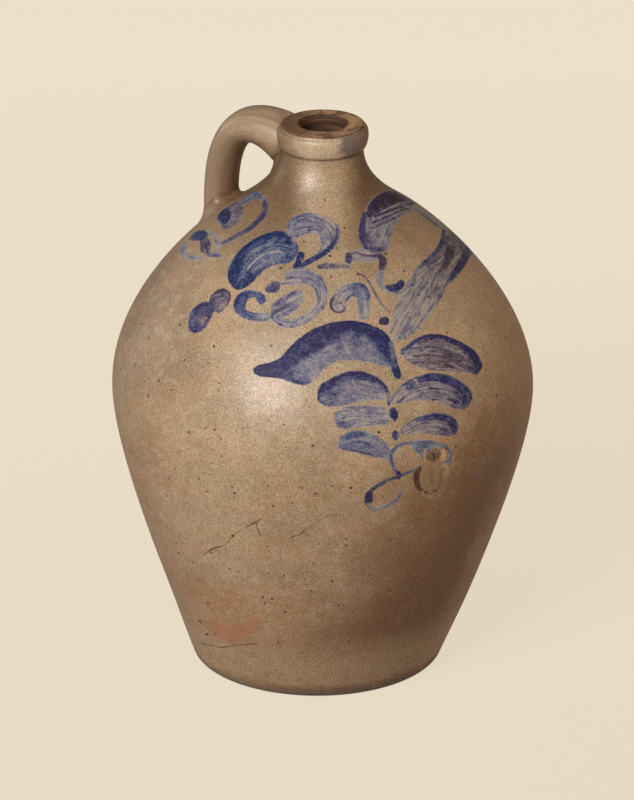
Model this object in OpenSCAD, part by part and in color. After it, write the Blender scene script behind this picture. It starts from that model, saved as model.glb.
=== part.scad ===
// Ovoid stoneware jug with a rolled mouth collar, a short pulled handle at the neck
// and a brushed cobalt spray. Sizes in millimetres, +Z up.
// The origin is the centre of the foot, on the ground. The handle lies towards -X.

/* [Body] */
// Greatest outer diameter, at the belly
belly_d = 280; // [260:5:300]
// Height of the belly above the ground
belly_z = 192; // [180:1:205]
// Outer diameter where the wall leaves the foot
foot_d = 168; // [150:2:185]
// Slope of the wall above the foot, in degrees from upright
foot_lean = 21; // [16:1:26]
// Rounding of the edge of the foot
foot_edge_r = 4; // [2:0.5:6]
// Thickness of the thrown wall
wall_t = 8; // [6:0.5:10]
// Thickness of the floor
floor_t = 11; // [8:0.5:15]
// Rounding inside, where the floor meets the wall
floor_corner_r = 16; // [8:1:24]

/* [Neck] */
// Outer diameter of the neck under the collar
neck_d = 54; // [50:1:60]
// Height of the top of the neck
neck_z = 359; // [345:1:370]
// Diameter of the shoulder where it turns into the neck
turn_d = 124; // [112:2:136]
// Height of that turn under the top of the neck
turn_drop = 45; // [38:1:52]
// Slope at that turn, in degrees from upright
turn_lean = 57; // [50:1:64]

/* [Luted joints] */
// Depth of the keyed seams between the thrown sections
key_h = 3; // [2:0.5:4]
// Radius of the coil pressed into the seam inside the belly
waist_coil_r = 5; // [3:0.5:7]

/* [Mouth collar] */
// Height of the collar
collar_h = 16; // [12:0.5:22]
// Greatest diameter of the collar
collar_d = 60; // [56:1:66]
// Diameter of the collar at its flat top
rim_d = 56; // [52:1:60]
// Diameter of the bore that takes the stopper
bore_d = 31; // [26:0.5:34]
// Rounding of the outer edge of the rim
rim_edge_r = 2.5; // [1:0.5:4]
// Rounding of the bore at the rim
bore_edge_r = 1.5; // [0.5:0.5:3]

/* [Handle] */
// Distance from the jug's axis to the middle of the handle's foot
handle_reach = 75; // [70:0.5:80]
// How far the handle leans out over its foot before it turns
handle_bow = 5.5; // [3:0.5:8]
// How far its curve is pulled up over the top of the neck
handle_rise = 17.5; // [14:0.5:21]
// Thickness of the handle at its lower end
handle_t = 21.5; // [17:0.5:25]
// Width of the handle at its lower end
handle_w = 28; // [22:0.5:32]
// Height of the handle's fanned upper end
handle_end_t = 35; // [30:0.5:38]
// Width of the handle's fanned upper end
handle_end_w = 34; // [30:0.5:40]
// How far the handle's foot runs into what it is cut to
handle_root_h = 12; // [8:1:16]
// Width of the clay smeared round the handle's lower end
lower_wad_w = 6; // [3:0.5:9]
// Height of that clay
lower_wad_h = 8; // [4:0.5:12]
// Width of the clay smeared under the handle's upper end
upper_wad_w = 4.5; // [3:0.5:7]
// Thickness where the smeared clay runs out
wad_lip_t = 0.8; // [0.5:0.1:1.5]

/* [Cobalt slip] */
// Thickness of the brushed slip
slip_t = 0.6; // [0.4:0.1:1]

/* [Hidden] */
$fn = 96;

belly_r = belly_d / 2;
foot_r = foot_d / 2;
neck_r = neck_d / 2;
turn_r = turn_d / 2;
turn_z = neck_z - turn_drop;
collar_r = collar_d / 2;
rim_r = rim_d / 2;
bore_r = bore_d / 2;
rim_z = neck_z + collar_h;

// Fullness of the throwing curves, as shares of the heights that they span
foot_pull_share = 0.42;
belly_low_share = 0.19;
belly_high_share = 0.48;
turn_in_share = 0.16;
turn_out_share = 0.55;
neck_pull_share = 0.4;
brush_height_share = 0.39;

// Steps along each curve
wall_steps = 18;
shoulder_steps = 16;
neck_steps = 10;
edge_steps = 5;
collar_steps = 8;
handle_steps = 24;
handle_sides = 20;
wad_levels = 6;
stroke_steps = 10;

// One overrun serves every cut
overrun = 20;

// Cubic curve through a and d with handles b and c, and its outward normal
function curve(a, b, c, d, t) =
    pow(1 - t, 3) * a + 3 * pow(1 - t, 2) * t * b + 3 * (1 - t) * pow(t, 2) * c + pow(t, 3) * d;
function slope(a, b, c, d, t) =
    pow(1 - t, 2) * (b - a) + 2 * (1 - t) * t * (c - b) + pow(t, 2) * (d - c);
function out_from(v) = [v[1], -v[0]] / norm(v);
function unit(v) = v / norm(v);
function run(k, steps, off) =
    [for (i = [0:steps]) curve(k[0], k[1], k[2], k[3], i / steps)
        + off * out_from(slope(k[0], k[1], k[2], k[3], i / steps))];
function flip(list) = [for (i = [len(list) - 1:-1:0]) list[i]];
function but_first(list) = [for (i = [1:len(list) - 1]) list[i]];
function arc(centre, r, from, to, steps) =
    [for (i = [0:steps]) let (a = from + (to - from) * i / steps) centre + r * [cos(a), sin(a)]];

// The three throwing curves: foot to belly, belly to the turn, turn to the neck
foot_start = [foot_r, foot_edge_r * (1 - sin(foot_lean))];
lower_curve = [foot_start,
    foot_start + foot_pull_share * belly_z * [sin(foot_lean), cos(foot_lean)],
    [belly_r, belly_z * (1 - belly_low_share)],
    [belly_r, belly_z]];
turn_dir = [-sin(turn_lean), cos(turn_lean)];
turn_point = [turn_r, turn_z];
shoulder_curve = [[belly_r, belly_z],
    [belly_r, belly_z + belly_high_share * (turn_z - belly_z)],
    turn_point - turn_in_share * (turn_z - belly_z) * turn_dir,
    turn_point];
neck_curve = [turn_point,
    turn_point + turn_out_share * turn_drop * turn_dir,
    [neck_r, neck_z - neck_pull_share * turn_drop],
    [neck_r, neck_z]];

function lower_line(off) = run(lower_curve, wall_steps, off);
function upper_line(off) = concat(run(shoulder_curve, shoulder_steps, off),
    but_first(run(neck_curve, neck_steps, off)));
function body_line(off) = concat(lower_line(off), but_first(upper_line(off)));

// Radius and height of the outer wall, looked up from each other
radius_table = [for (p = body_line(0)) [p[1], p[0]]];
function wall_r(z) = lookup(z, radius_table);
shoulder_table = flip([for (p = upper_line(0)) [p[0], p[1]]]);
function shoulder_z(r) = lookup(r, shoulder_table);
normal_table = [for (i = [0:len(body_line(0)) - 1])
    let (n = body_line(1)[i] - body_line(0)[i]) [body_line(0)[i][1], atan2(n[1], n[0])]];
function wall_tilt(z) = lookup(z, normal_table);

foot_arc = arc([foot_r - foot_edge_r * cos(foot_lean), foot_edge_r], foot_edge_r,
    -90, -foot_lean, edge_steps);

// Inside of the lower section, with its rounded corner at the floor
corner_top_z = floor_t + floor_corner_r * (1 - sin(foot_lean));
inner_table = [for (p = lower_line(-wall_t)) [p[1], p[0]]];
corner_r_in = lookup(corner_top_z, inner_table);
floor_arc = arc([corner_r_in - floor_corner_r * cos(foot_lean), floor_t + floor_corner_r],
    floor_corner_r, -90, -foot_lean, edge_steps);
lower_inside = concat(floor_arc, [for (p = lower_line(-wall_t)) if (p[1] > corner_top_z) p]);

// Keys at the middle of the wall, at the belly and under the collar
belly_key = [belly_r - wall_t / 2, belly_z - key_h];
neck_key = [neck_r - wall_t / 2, neck_z + key_h];

function bulge(t) = pow(sin(180 * t), 0.75);
collar_mean_r = (neck_r + rim_r) / 2;
collar_side = [for (i = [0:collar_steps]) let (t = i / collar_steps)
    [neck_r + (rim_r - neck_r) * t + (collar_r - collar_mean_r) * bulge(t),
        neck_z + (collar_h - rim_edge_r) * t]];
rim_arc = arc([rim_r - rim_edge_r, rim_z - rim_edge_r], rim_edge_r, 0, 90, edge_steps);
bore_arc = arc([bore_r + bore_edge_r, rim_z - bore_edge_r], bore_edge_r, 90, 180, edge_steps);

// Solid form of the finished outside, used to cut what is luted on
module outside() {
    rotate_extrude()
        polygon(concat([[0, 0]], foot_arc, but_first(body_line(0)), but_first(collar_side),
            but_first(rim_arc), [[0, rim_z]]));
}

module lower_body() {
    color("tan")
        rotate_extrude()
            polygon(concat([[0, 0]], foot_arc, but_first(lower_line(0)), [belly_key],
                flip(lower_inside), [[0, floor_t]]));
}

module upper_body() {
    color("burlywood")
        rotate_extrude()
            polygon(concat([belly_key], upper_line(0), [neck_key], flip(upper_line(-wall_t))));
}

module waist_coil() {
    color("peru")
        rotate_extrude()
            intersection() {
                translate([belly_r - wall_t, belly_z])
                    circle(r = waist_coil_r);
                polygon(concat([[0, floor_t]], lower_inside, but_first(upper_line(-wall_t)),
                    [[0, neck_z]]));
            }
}

module mouth_collar() {
    color("sienna")
        rotate_extrude()
            polygon(concat([[bore_r, neck_z], [neck_r - wall_t, neck_z], neck_key],
                collar_side, but_first(rim_arc), bore_arc));
}

// A closed skin over rings of points, each ring in the same order, with fanned caps
function sum_of(list, k, i = 0) = i == len(list) ? 0 : list[i][k] + sum_of(list, k, i + 1);
function middle(list) = [for (k = [0:2]) sum_of(list, k) / len(list)];
module skin(rings) {
    n = len(rings[0]);
    m = len(rings);
    points = concat([for (r = rings) each r], [middle(rings[0]), middle(rings[m - 1])]);
    sides = [for (j = [0:m - 2], i = [0:n - 1]) let (i2 = (i + 1) % n)
        each [[j * n + i, j * n + i2, (j + 1) * n + i2],
            [j * n + i, (j + 1) * n + i2, (j + 1) * n + i]]];
    low = [for (i = [0:n - 1]) [m * n, (i + 1) % n, i]];
    high = [for (i = [0:n - 1]) [m * n + 1, (m - 1) * n + i, (m - 1) * n + (i + 1) % n]];
    polyhedron(points = points, faces = concat(sides, low, high), convexity = 6);
}

// Middle line of the handle in the plane of X and Z, x counted away from the axis
handle_foot_z = shoulder_z(handle_reach);
handle_curve = [[handle_reach, handle_foot_z - handle_root_h],
    [handle_reach + handle_bow, neck_z - handle_rise / 5],
    [handle_reach - handle_rise * 4 / 5, neck_z + handle_rise],
    [collar_r - wall_t / 2, neck_z]];
function swell(t) = pow(t, 4);
function handle_half(t) = [(handle_t + (handle_end_t - handle_t) * swell(t)) / 2,
    (handle_w + (handle_end_w - handle_w) * swell(t)) / 2];
function handle_ring(t, extra) =
    let (p = curve(handle_curve[0], handle_curve[1], handle_curve[2], handle_curve[3], t),
        v = slope(handle_curve[0], handle_curve[1], handle_curve[2], handle_curve[3], t),
        out = out_from(v), half = handle_half(t))
    [for (i = [0:handle_sides - 1]) let (a = 360 * i / handle_sides,
        q = p + (half[0] + extra) * cos(a) * out)
        [-q[0], (half[1] + extra) * sin(a), q[1]]];

handle_end_dir = unit(handle_curve[3] - handle_curve[2]);
function shift_ring(ring, v) = [for (p = ring) p + [-v[0], 0, v[1]]];

// The upper end runs on straight, so that its lower edge reaches the neck too
module handle_form() {
    skin(concat([for (i = [0:handle_steps]) handle_ring(i / handle_steps, 0)],
        [shift_ring(handle_ring(1, 0), handle_root_h * handle_end_dir)]));
}

module handle() {
    color("chocolate")
        difference() {
            handle_form();
            outside();
        }
}

// Clay smeared from the foot of the handle on to the shoulder, following its slope
module lower_handle_wad() {
    color("rosybrown")
        difference() {
            skin([for (k = [0:wad_levels]) let (h = k / wad_levels,
                wide = wad_lip_t + lower_wad_w * pow(1 - h, 2))
                [for (i = [0:handle_sides - 1]) let (a = 360 * i / handle_sides,
                    x = handle_reach + (handle_t / 2 + wide) * cos(a),
                    y = (handle_w / 2 + wide) * sin(a))
                    [-x, y, shoulder_z(norm([x, y])) + lower_wad_h * (1.5 * h - 0.5)]]]);
            handle_form();
            outside();
        }
}

// Clay smeared under the fanned end of the handle, below the collar
module upper_handle_wad() {
    color("rosybrown")
        difference() {
            skin(concat([for (i = [handle_steps - wad_levels:handle_steps])
                handle_ring(i / handle_steps, wad_lip_t
                    + upper_wad_w * pow(1 - (handle_steps - i) / wad_levels, 2))],
                [shift_ring(handle_ring(1, wad_lip_t + 2 * upper_wad_w),
                    handle_root_h * handle_end_dir)]));
            handle_form();
            outside();
            translate([-belly_r, -belly_r, neck_z - wad_lip_t])
                cube([belly_d, belly_d, collar_h + overrun]);
        }
}

// Brushed slip. Each row of a table is one stroke of the brush: azimuth in degrees;
// height, from 0 at the ground over 1 at the belly to 2 at the top of the neck;
// length and width as shares of the brush's scale; heading of its middle, in degrees
// from level; how far it bends to the left; where along it the brush pressed
// hardest; and how pointed its ends are, from 0.3 for blunt to 1.
// The scale follows the belly, but on a squat jug the height, so strokes stay apart.
brush_scale = min(belly_r, brush_height_share * neck_z);
function stroke_z(h) = h < 1 ? h * belly_z : belly_z + (h - 1) * (neck_z - belly_z);
function spine(s, t) =
    abs(s[5]) < 1 ? s[2] * brush_scale * t * [cos(s[4]), sin(s[4])]
    : s[2] * brush_scale / (s[5] * PI / 180)
        * [sin(s[4] + s[5] * t) - sin(s[4]), cos(s[4]) - cos(s[4] + s[5] * t)];
function press(s, u) = pow(max(sin(180 * pow(u, ln(0.5) / ln(s[6]))), 0), s[7]);
function stroke_edge(s, side) = [for (i = [0:stroke_steps]) let (u = i / stroke_steps,
    a = s[4] + s[5] * (u - 0.5), w = s[3] * brush_scale / 2 * (0.06 + 0.94 * press(s, u)))
    spine(s, u - 0.5) + side * w * [-sin(a), cos(a)]];

module slip_band(z_low, z_high) {
    near = body_line(0);
    far = body_line(slip_t);
    kept = [for (i = [0:len(near) - 1]) if (near[i][1] > z_low && near[i][1] < z_high) i];
    rotate_extrude()
        polygon(concat([for (i = kept) near[i]], flip([for (i = kept) far[i]])));
}

// The stroke's outline, pushed through the wall square to it
module stroke(s, mid_azimuth) {
    z = stroke_z(s[1]);
    rotate([0, 0, mid_azimuth + (s[0] - mid_azimuth) * brush_scale / belly_r])
        translate([wall_r(z), 0, z])
            rotate([0, 90 - wall_tilt(z), 0])
                rotate([0, 0, 90])
                    translate([0, 0, -overrun])
                        linear_extrude(height = 2 * overrun)
                            polygon(concat(stroke_edge(s, 1), flip(stroke_edge(s, -1))));
}

function reach(s) = (s[2] + s[3]) * brush_scale;
module brushed(strokes) {
    color("midnightblue")
        intersection() {
            slip_band(min([for (s = strokes) stroke_z(s[1]) - reach(s)]),
                max([for (s = strokes) stroke_z(s[1]) + reach(s)]));
            union() {
                for (s = strokes)
                    stroke(s, sum_of(strokes, 0) / len(strokes));
            }
        }
}

top_loop_shares = [
    [-139, 1.74, 0.14, 0.08, 92, 0, 0.4, 0.5],
    [-129, 1.81, 0.28, 0.04, 2, -110, 0.5, 0.5],
    [-111, 1.73, 0.26, 0.03, -109, -60, 0.4, 0.5]];
small_ring_shares = [
    [-145, 1.65, 0.16, 0.04, 37, -39, 0.6, 0.5],
    [-128, 1.65, 0.12, 0.05, -43, -60, 0.5, 0.5],
    [-122, 1.62, 0.1, 0.025, 22, 0, 0.5, 0.5]];
bud_shares = [
    [-107, 1.47, 0.17, 0.1, 78, -50, 0.6, 0.5],
    [-101, 1.53, 0.11, 0.07, 50, 18, 0.5, 0.5]];
high_petal_shares = [
    [-57, 1.77, 0.46, 0.11, -51, -200, 0.42, 0.4]];
dark_petal_shares = [
    [-93, 1.69, 0.39, 0.135, 45, -90, 0.5, 0.4],
    [-70, 1.69, 0.09, 0.04, -94, -50, 0.4, 0.5]];
low_petal_shares = [
    [-61, 1.6, 0.54, 0.09, -72, -250, 0.5, 0.4],
    [-74, 1.56, 0.17, 0.07, 25, 50, 0.5, 0.5]];
curl_shares = [
    [-93, 1.53, 0.37, 0.045, -79, 264, 0.5, 0.4]];
tendril_shares = [
    [-55, 1.67, 0.13, 0.025, -7, 20, 0.4, 0.5],
    [-45, 1.69, 0.1, 0.025, 27, -90, 0.4, 0.5],
    [-30, 1.67, 0.21, 0.03, -79, -180, 0.5, 0.5],
    [-34, 1.58, 0.2, 0.04, -27, 160, 0.7, 0.5],
    [-47, 1.61, 0.35, 0.04, 0, -220, 0.3, 0.5],
    [-37, 1.49, 0.055, 0.045, -60, 0, 0.5, 0.5]];
ribbon_shares = [
    [-13, 1.78, 0.5, 0.12, -157, 90, 0.6, 0.4],
    [26, 1.69, 0.26, 0.05, -83, -20, 0.5, 0.4],
    [-11, 1.57, 0.76, 0.17, -161, 5, 0.35, 0.5]];
big_leaf_shares = [
    [-75, 1.34, 0.22, 0.05, 14, 8, 0.6, 0.5],
    [-55, 1.44, 0.56, 0.19, 12, -60, 0.55, 0.6]];
left_leaf_shares = [
    [-52, 1.29, 0.35, 0.11, 7, -58, 0.45, 0.5],
    [-50, 1.19, 0.27, 0.09, 3, -40, 0.45, 0.5],
    [-49, 1.09, 0.25, 0.08, -12, -60, 0.4, 0.5]];
right_leaf_shares = [
    [-19, 1.35, 0.44, 0.16, -22, -34, 0.55, 0.5],
    [-26, 1.24, 0.44, 0.13, -16, -50, 0.6, 0.5],
    [-29, 1.12, 0.31, 0.1, -12, -27, 0.6, 0.5]];
stem_drop_shares = [
    [-37, 1.35, 0.11, 0.04, -98, 30, 0.7, 0.6],
    [-40, 1.22, 0.12, 0.045, -90, 40, 0.7, 0.6],
    [-40, 1.1, 0.05, 0.035, -100, 0, 0.6, 0.5]];
outline_leaf_shares = [
    [-36, 1.05, 0.48, 0.025, 0, -200, 0.5, 0.3],
    [-36, 0.945, 0.12, 0.02, 22, 27, 0.5, 0.5],
    [-32, 1.01, 0.07, 0.03, -94, 0, 0.5, 0.5]];
tail_loop_shares = [
    [-47, 0.84, 0.41, 0.025, -57, 264, 0.4, 0.3]];

module cobalt_top_loop() {
    brushed(top_loop_shares);
}
module cobalt_small_ring() {
    brushed(small_ring_shares);
}
module cobalt_bud() {
    brushed(bud_shares);
}
module cobalt_high_petal() {
    brushed(high_petal_shares);
}
module cobalt_dark_petal() {
    brushed(dark_petal_shares);
}
module cobalt_low_petal() {
    brushed(low_petal_shares);
}
module cobalt_curl() {
    brushed(curl_shares);
}
module cobalt_tendrils() {
    brushed(tendril_shares);
}
module cobalt_ribbon() {
    brushed(ribbon_shares);
}
module cobalt_big_leaf() {
    brushed(big_leaf_shares);
}
module cobalt_left_leaves() {
    brushed(left_leaf_shares);
}
module cobalt_right_leaves() {
    brushed(right_leaf_shares);
}
module cobalt_stem_drops() {
    brushed(stem_drop_shares);
}
module cobalt_outline_leaf() {
    brushed(outline_leaf_shares);
}
module cobalt_tail_loop() {
    brushed(tail_loop_shares);
}

lower_body();
upper_body();
waist_coil();
mouth_collar();
handle();
lower_handle_wad();
upper_handle_wad();
cobalt_top_loop();
cobalt_small_ring();
cobalt_bud();
cobalt_high_petal();
cobalt_dark_petal();
cobalt_low_petal();
cobalt_curl();
cobalt_tendrils();
cobalt_ribbon();
cobalt_big_leaf();
cobalt_left_leaves();
cobalt_right_leaves();
cobalt_stem_drops();
cobalt_outline_leaf();
cobalt_tail_loop();
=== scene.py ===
import math

import bpy
import numpy as np
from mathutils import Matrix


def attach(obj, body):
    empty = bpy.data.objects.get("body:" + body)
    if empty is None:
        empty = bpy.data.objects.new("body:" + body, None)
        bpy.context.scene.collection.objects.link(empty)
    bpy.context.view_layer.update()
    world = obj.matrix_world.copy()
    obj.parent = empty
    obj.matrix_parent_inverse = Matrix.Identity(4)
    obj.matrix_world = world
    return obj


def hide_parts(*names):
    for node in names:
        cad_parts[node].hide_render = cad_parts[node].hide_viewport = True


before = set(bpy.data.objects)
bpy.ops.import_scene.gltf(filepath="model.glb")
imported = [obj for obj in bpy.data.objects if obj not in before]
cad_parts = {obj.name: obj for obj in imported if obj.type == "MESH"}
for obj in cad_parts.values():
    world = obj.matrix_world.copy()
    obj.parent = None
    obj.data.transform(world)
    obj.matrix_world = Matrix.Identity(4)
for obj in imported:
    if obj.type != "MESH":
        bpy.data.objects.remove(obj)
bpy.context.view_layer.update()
mm = 0.001
bpy.context.scene.view_settings.view_transform = "Standard"
print("frame loaded")

# the photograph's view of the jug: pixels of a 634 x 800 picture, lengths in mm
photoView = {"width": 634, "height": 800, "axisX": 322.7, "middleY": 400, "aimZ": 179.07,
             "distance": 4000, "focal": 6011.66, "elevation": 22.52, "azimuth": 30}

# the thrown wall, in mm, as the construction model has it
wall = {"bellyR": 139.8, "bellyZ": 192, "footR": 84, "footLean": 21, "footEdge": 4,
        "thick": 8, "floor": 11, "floorCorner": 16, "neckR": 27, "neckZ": 359,
        "turnR": 62, "turnDrop": 45, "turnLean": 57, "key": 3,
        "lowerSteps": 84, "shoulderSteps": 60, "neckSteps": 30, "aroundSteps": 288}

# how far a hand-thrown jug stands off its own axis, towards the photograph's right:
# height and shift, both in mm
leanLevels = [(0, -3.7), (47, -1.7), (94, -0.95), (141, -0.3), (188, 0.0),
              (235, -0.85), (282, -1.4), (329, -1.0), (376, 0.2)]


# small tools, shared by all pieces
def linearColour(hexText):
    parts = [int(hexText[i:i + 2], 16) / 255 for i in (1, 3, 5)]
    return [p / 12.92 if p <= 0.04045 else ((p + 0.055) / 1.055) ** 2.4 for p in parts] + [1.0]


def addNode(tree, kind, settings=None, links=None):
    node = tree.nodes.new(kind)
    for key, value in (settings or {}).items():
        if isinstance(key, int) or key in node.inputs:
            node.inputs[key].default_value = value
        else:
            setattr(node, key, value)
    for key, socket in (links or {}).items():
        tree.links.new(socket, node.inputs[key])
    return node


def deselectAll():
    if bpy.context.object and bpy.context.object.mode != "OBJECT":
        bpy.ops.object.mode_set(mode="OBJECT")
    bpy.ops.object.select_all(action="DESELECT")


def makeActive(piece):
    deselectAll()
    piece.select_set(True)
    bpy.context.view_layer.objects.active = piece


def getPoints(piece):
    flat = np.empty(len(piece.data.vertices) * 3, np.float32)
    piece.data.vertices.foreach_get("co", flat)
    return flat.reshape(-1, 3).astype(float)


def setPoints(piece, points):
    piece.data.vertices.foreach_set("co", np.asarray(points, np.float32).ravel())
    piece.data.update()


def applyModifiers(piece):
    makeActive(piece)
    for modifier in list(piece.modifiers):
        bpy.ops.object.modifier_apply(modifier=modifier.name)


def smoothStep(low, high, value):
    share = np.clip((value - low) / (high - low), 0, 1)
    return share * share * (3 - 2 * share)


# the wall's line: radius and height of its outside, foot to neck, and the way out of it
def bezier(a, b, c, d, steps):
    a, b, c, d = (np.array(p, float) for p in (a, b, c, d))
    t = np.linspace(0, 1, steps + 1)[:, None]
    points = (1 - t) ** 3 * a + 3 * (1 - t) ** 2 * t * b + 3 * (1 - t) * t * t * c + t ** 3 * d
    along = (1 - t) ** 2 * (b - a) + 2 * (1 - t) * t * (c - b) + t * t * (d - c)
    along /= np.linalg.norm(along, axis=1)[:, None]
    return points, np.stack([along[:, 1], -along[:, 0]], 1)


footLean = math.radians(wall["footLean"])
turnLean = math.radians(wall["turnLean"])
footStart = np.array([wall["footR"], wall["footEdge"] * (1 - math.sin(footLean))])
turnPoint = np.array([wall["turnR"], wall["neckZ"] - wall["turnDrop"]])
turnWay = np.array([-math.sin(turnLean), math.cos(turnLean)])
upperReach = turnPoint[1] - wall["bellyZ"]
lowerLine, lowerOut = bezier(
    footStart, footStart + 0.42 * wall["bellyZ"] * np.array([math.sin(footLean), math.cos(footLean)]),
    (wall["bellyR"], wall["bellyZ"] * 0.81), (wall["bellyR"], wall["bellyZ"]), wall["lowerSteps"])
shoulderLine, shoulderOut = bezier(
    (wall["bellyR"], wall["bellyZ"]), (wall["bellyR"], wall["bellyZ"] + 0.48 * upperReach),
    turnPoint - 0.16 * upperReach * turnWay, turnPoint, wall["shoulderSteps"])
neckLine, neckOut = bezier(
    turnPoint, turnPoint + 0.55 * wall["turnDrop"] * turnWay,
    (wall["neckR"], wall["neckZ"] - 0.4 * wall["turnDrop"]), (wall["neckR"], wall["neckZ"]),
    wall["neckSteps"])
upperLine = np.vstack([shoulderLine, neckLine[1:]])
upperOut = np.vstack([shoulderOut, neckOut[1:]])
wallLine = np.vstack([lowerLine, upperLine[1:]])
wallOut = np.vstack([lowerOut, upperOut[1:]])
wallArc = np.concatenate([[0], np.cumsum(np.linalg.norm(np.diff(wallLine, axis=0), axis=1))])


def wallAt(arc):
    radius = np.interp(arc, wallArc, wallLine[:, 0])
    height = np.interp(arc, wallArc, wallLine[:, 1])
    outR = np.interp(arc, wallArc, wallOut[:, 0])
    outZ = np.interp(arc, wallArc, wallOut[:, 1])
    size = np.hypot(outR, outZ)
    return radius, height, outR / size, outZ / size


def arcAtHeight(height):
    return np.interp(height, wallLine[:, 1], wallArc)


def radiusAt(height):
    return np.interp(height, wallLine[:, 1], wallLine[:, 0])


def shoulderHeightAt(radius):
    return np.interp(radius, upperLine[::-1, 0], upperLine[::-1, 1])


def leanAt(height):
    return np.interp(height, [p[0] for p in leanLevels], [p[1] for p in leanLevels])


# camera, at the photograph's angle
viewElevation = math.radians(photoView["elevation"])
viewAzimuth = math.radians(photoView["azimuth"])
viewBack = np.array([math.sin(viewAzimuth) * math.cos(viewElevation),
                     -math.cos(viewAzimuth) * math.cos(viewElevation), math.sin(viewElevation)])
viewRight = np.array([math.cos(viewAzimuth), math.sin(viewAzimuth), 0.0])
viewUp = np.cross(viewBack, viewRight)
viewPlace = np.array([0, 0, photoView["aimZ"]]) + photoView["distance"] * viewBack


def fromPhoto(x, y):
    # azimuth in degrees and arc in mm of the wall's point that the photograph shows there
    steps = np.arange(-210.0, 100.0, 0.5)
    lean = 0.0
    for _ in range(3):
        ray = (-viewBack + viewRight * (x - photoView["axisX"] - lean * 1.503) / photoView["focal"]
               + viewUp * (photoView["middleY"] - y) / photoView["focal"])
        path = viewPlace + (photoView["distance"] + steps)[:, None] * ray
        gap = np.hypot(path[:, 0], path[:, 1]) - radiusAt(path[:, 2])
        gap[(path[:, 2] < 0) | (path[:, 2] > wall["neckZ"])] = 1000
        inside = np.nonzero((gap[:-1] > 0) & (gap[:-1] < 900) & (gap[1:] <= 0))[0]
        if len(inside):
            first = inside[0]
            share = gap[first] / (gap[first] - gap[first + 1])
            spot = path[first] + share * (path[first + 1] - path[first])
            past = 0.0
        else:
            spot = path[np.argmin(gap)]       # past the outline: the wall goes on round its edge
            past = math.degrees(math.acos(1 / (1 + gap.min() / radiusAt(spot[2]))))
            past *= 1 if x > photoView["axisX"] else -1
        lean = leanAt(spot[2])
    azimuth = (math.degrees(math.atan2(spot[1], spot[0])) + 240) % 360 - 240
    return azimuth + past, float(arcAtHeight(spot[2]))


deselectAll()
bpy.ops.object.camera_add(location=viewPlace * mm,
                          rotation=(math.pi / 2 - viewElevation, 0, viewAzimuth))
camera = bpy.context.object
camera.name = "photographCamera"
camera.data.sensor_width = 36
camera.data.lens = photoView["focal"] * 36 / photoView["height"]
camera.data.shift_x = (photoView["width"] / 2 - photoView["axisX"]) / photoView["height"]
camera.data.clip_end = 60
bpy.context.scene.camera = camera

# floor, world and lamps
studio = {"paper": "#E9DDC9", "paperNear": 1.0, "paperFar": 1.13, "floorAcross": 40, "shadowShare": 0.14,
          "keyWatts": 66, "keySize": 1.0, "keyAway": 2.5, "keyAzimuth": 2, "keyElevation": 28,
          "sheenWatts": 19, "sheenSize": 0.7, "sheenAway": 2.5, "sheenAzimuth": -11, "sheenElevation": 28,
          "fillWatts": 26, "fillSize": 1.6, "fillAway": 2.6, "fillAzimuth": 124, "fillElevation": 14,
          "edgeWatts": 8, "edgeSize": 1.2, "edgeAway": 2.6, "edgeAzimuth": -88, "edgeElevation": 8,
          "ambient": 0.17, "room": "#EADBC6", "bounce": "#8E8780", "glossShare": 0.2}


def seenByEye(tree):
    # the camera sees the pale paper, gloss sees it weaker; the jug itself gets plain light from it
    seen = addNode(tree, "ShaderNodeLightPath")
    gloss = addNode(tree, "ShaderNodeMath", {"operation": "MULTIPLY", 1: studio["glossShare"]},
                    {0: seen.outputs["Is Glossy Ray"]})
    either = addNode(tree, "ShaderNodeMath", {"operation": "MAXIMUM"},
                     {0: seen.outputs["Is Camera Ray"], 1: gloss.outputs[0]})
    either = addNode(tree, "ShaderNodeMath", {"operation": "MAXIMUM"},
                     {0: either.outputs[0], 1: seen.outputs["Is Transmission Ray"]})
    return either.outputs[0]


world = bpy.data.worlds.new("studioWorld")
bpy.context.scene.world = world
world.use_nodes = True
tree = world.node_tree
tree.nodes.clear()
paperLight = addNode(tree, "ShaderNodeBackground", {"Color": linearColour(studio["paper"]), "Strength": 1.0})
roomLight = addNode(tree, "ShaderNodeBackground",
                    {"Color": linearColour(studio["room"]), "Strength": studio["ambient"]})
mixed = addNode(tree, "ShaderNodeMixShader", {},
                {0: seenByEye(tree), 1: roomLight.outputs[0], 2: paperLight.outputs[0]})
addNode(tree, "ShaderNodeOutputWorld", {}, {0: mixed.outputs[0]})

deselectAll()
bpy.ops.mesh.primitive_grid_add(x_subdivisions=8, y_subdivisions=8, size=studio["floorAcross"])
floor = bpy.context.object
floor.name = "paperFloor"
paperMaterial = bpy.data.materials.new("palePaper")
paperMaterial.use_nodes = True
tree = paperMaterial.node_tree
tree.nodes.clear()
# the sheet is a little brighter towards the back, in metres behind the jug
floorPlace = addNode(tree, "ShaderNodeTexCoord").outputs["Object"]
behind = addNode(tree, "ShaderNodeVectorMath", {"operation": "DOT_PRODUCT", 1: tuple(-viewBack)},
                 {0: floorPlace})
glow = addNode(tree, "ShaderNodeMapRange", {1: -0.3, 2: 1.1, 3: studio["paperNear"], 4: studio["paperFar"]},
               {0: behind.outputs["Value"]})
plainLight = addNode(tree, "ShaderNodeEmission", {"Color": linearColour(studio["paper"])},
                     {"Strength": glow.outputs[0]})
lit = addNode(tree, "ShaderNodeBsdfDiffuse", {"Color": linearColour(studio["paper"])})
dim = addNode(tree, "ShaderNodeBsdfDiffuse", {"Color": linearColour(studio["bounce"])})
paperMix = addNode(tree, "ShaderNodeMixShader", {0: studio["shadowShare"]},
                   {1: plainLight.outputs[0], 2: lit.outputs[0]})
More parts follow.
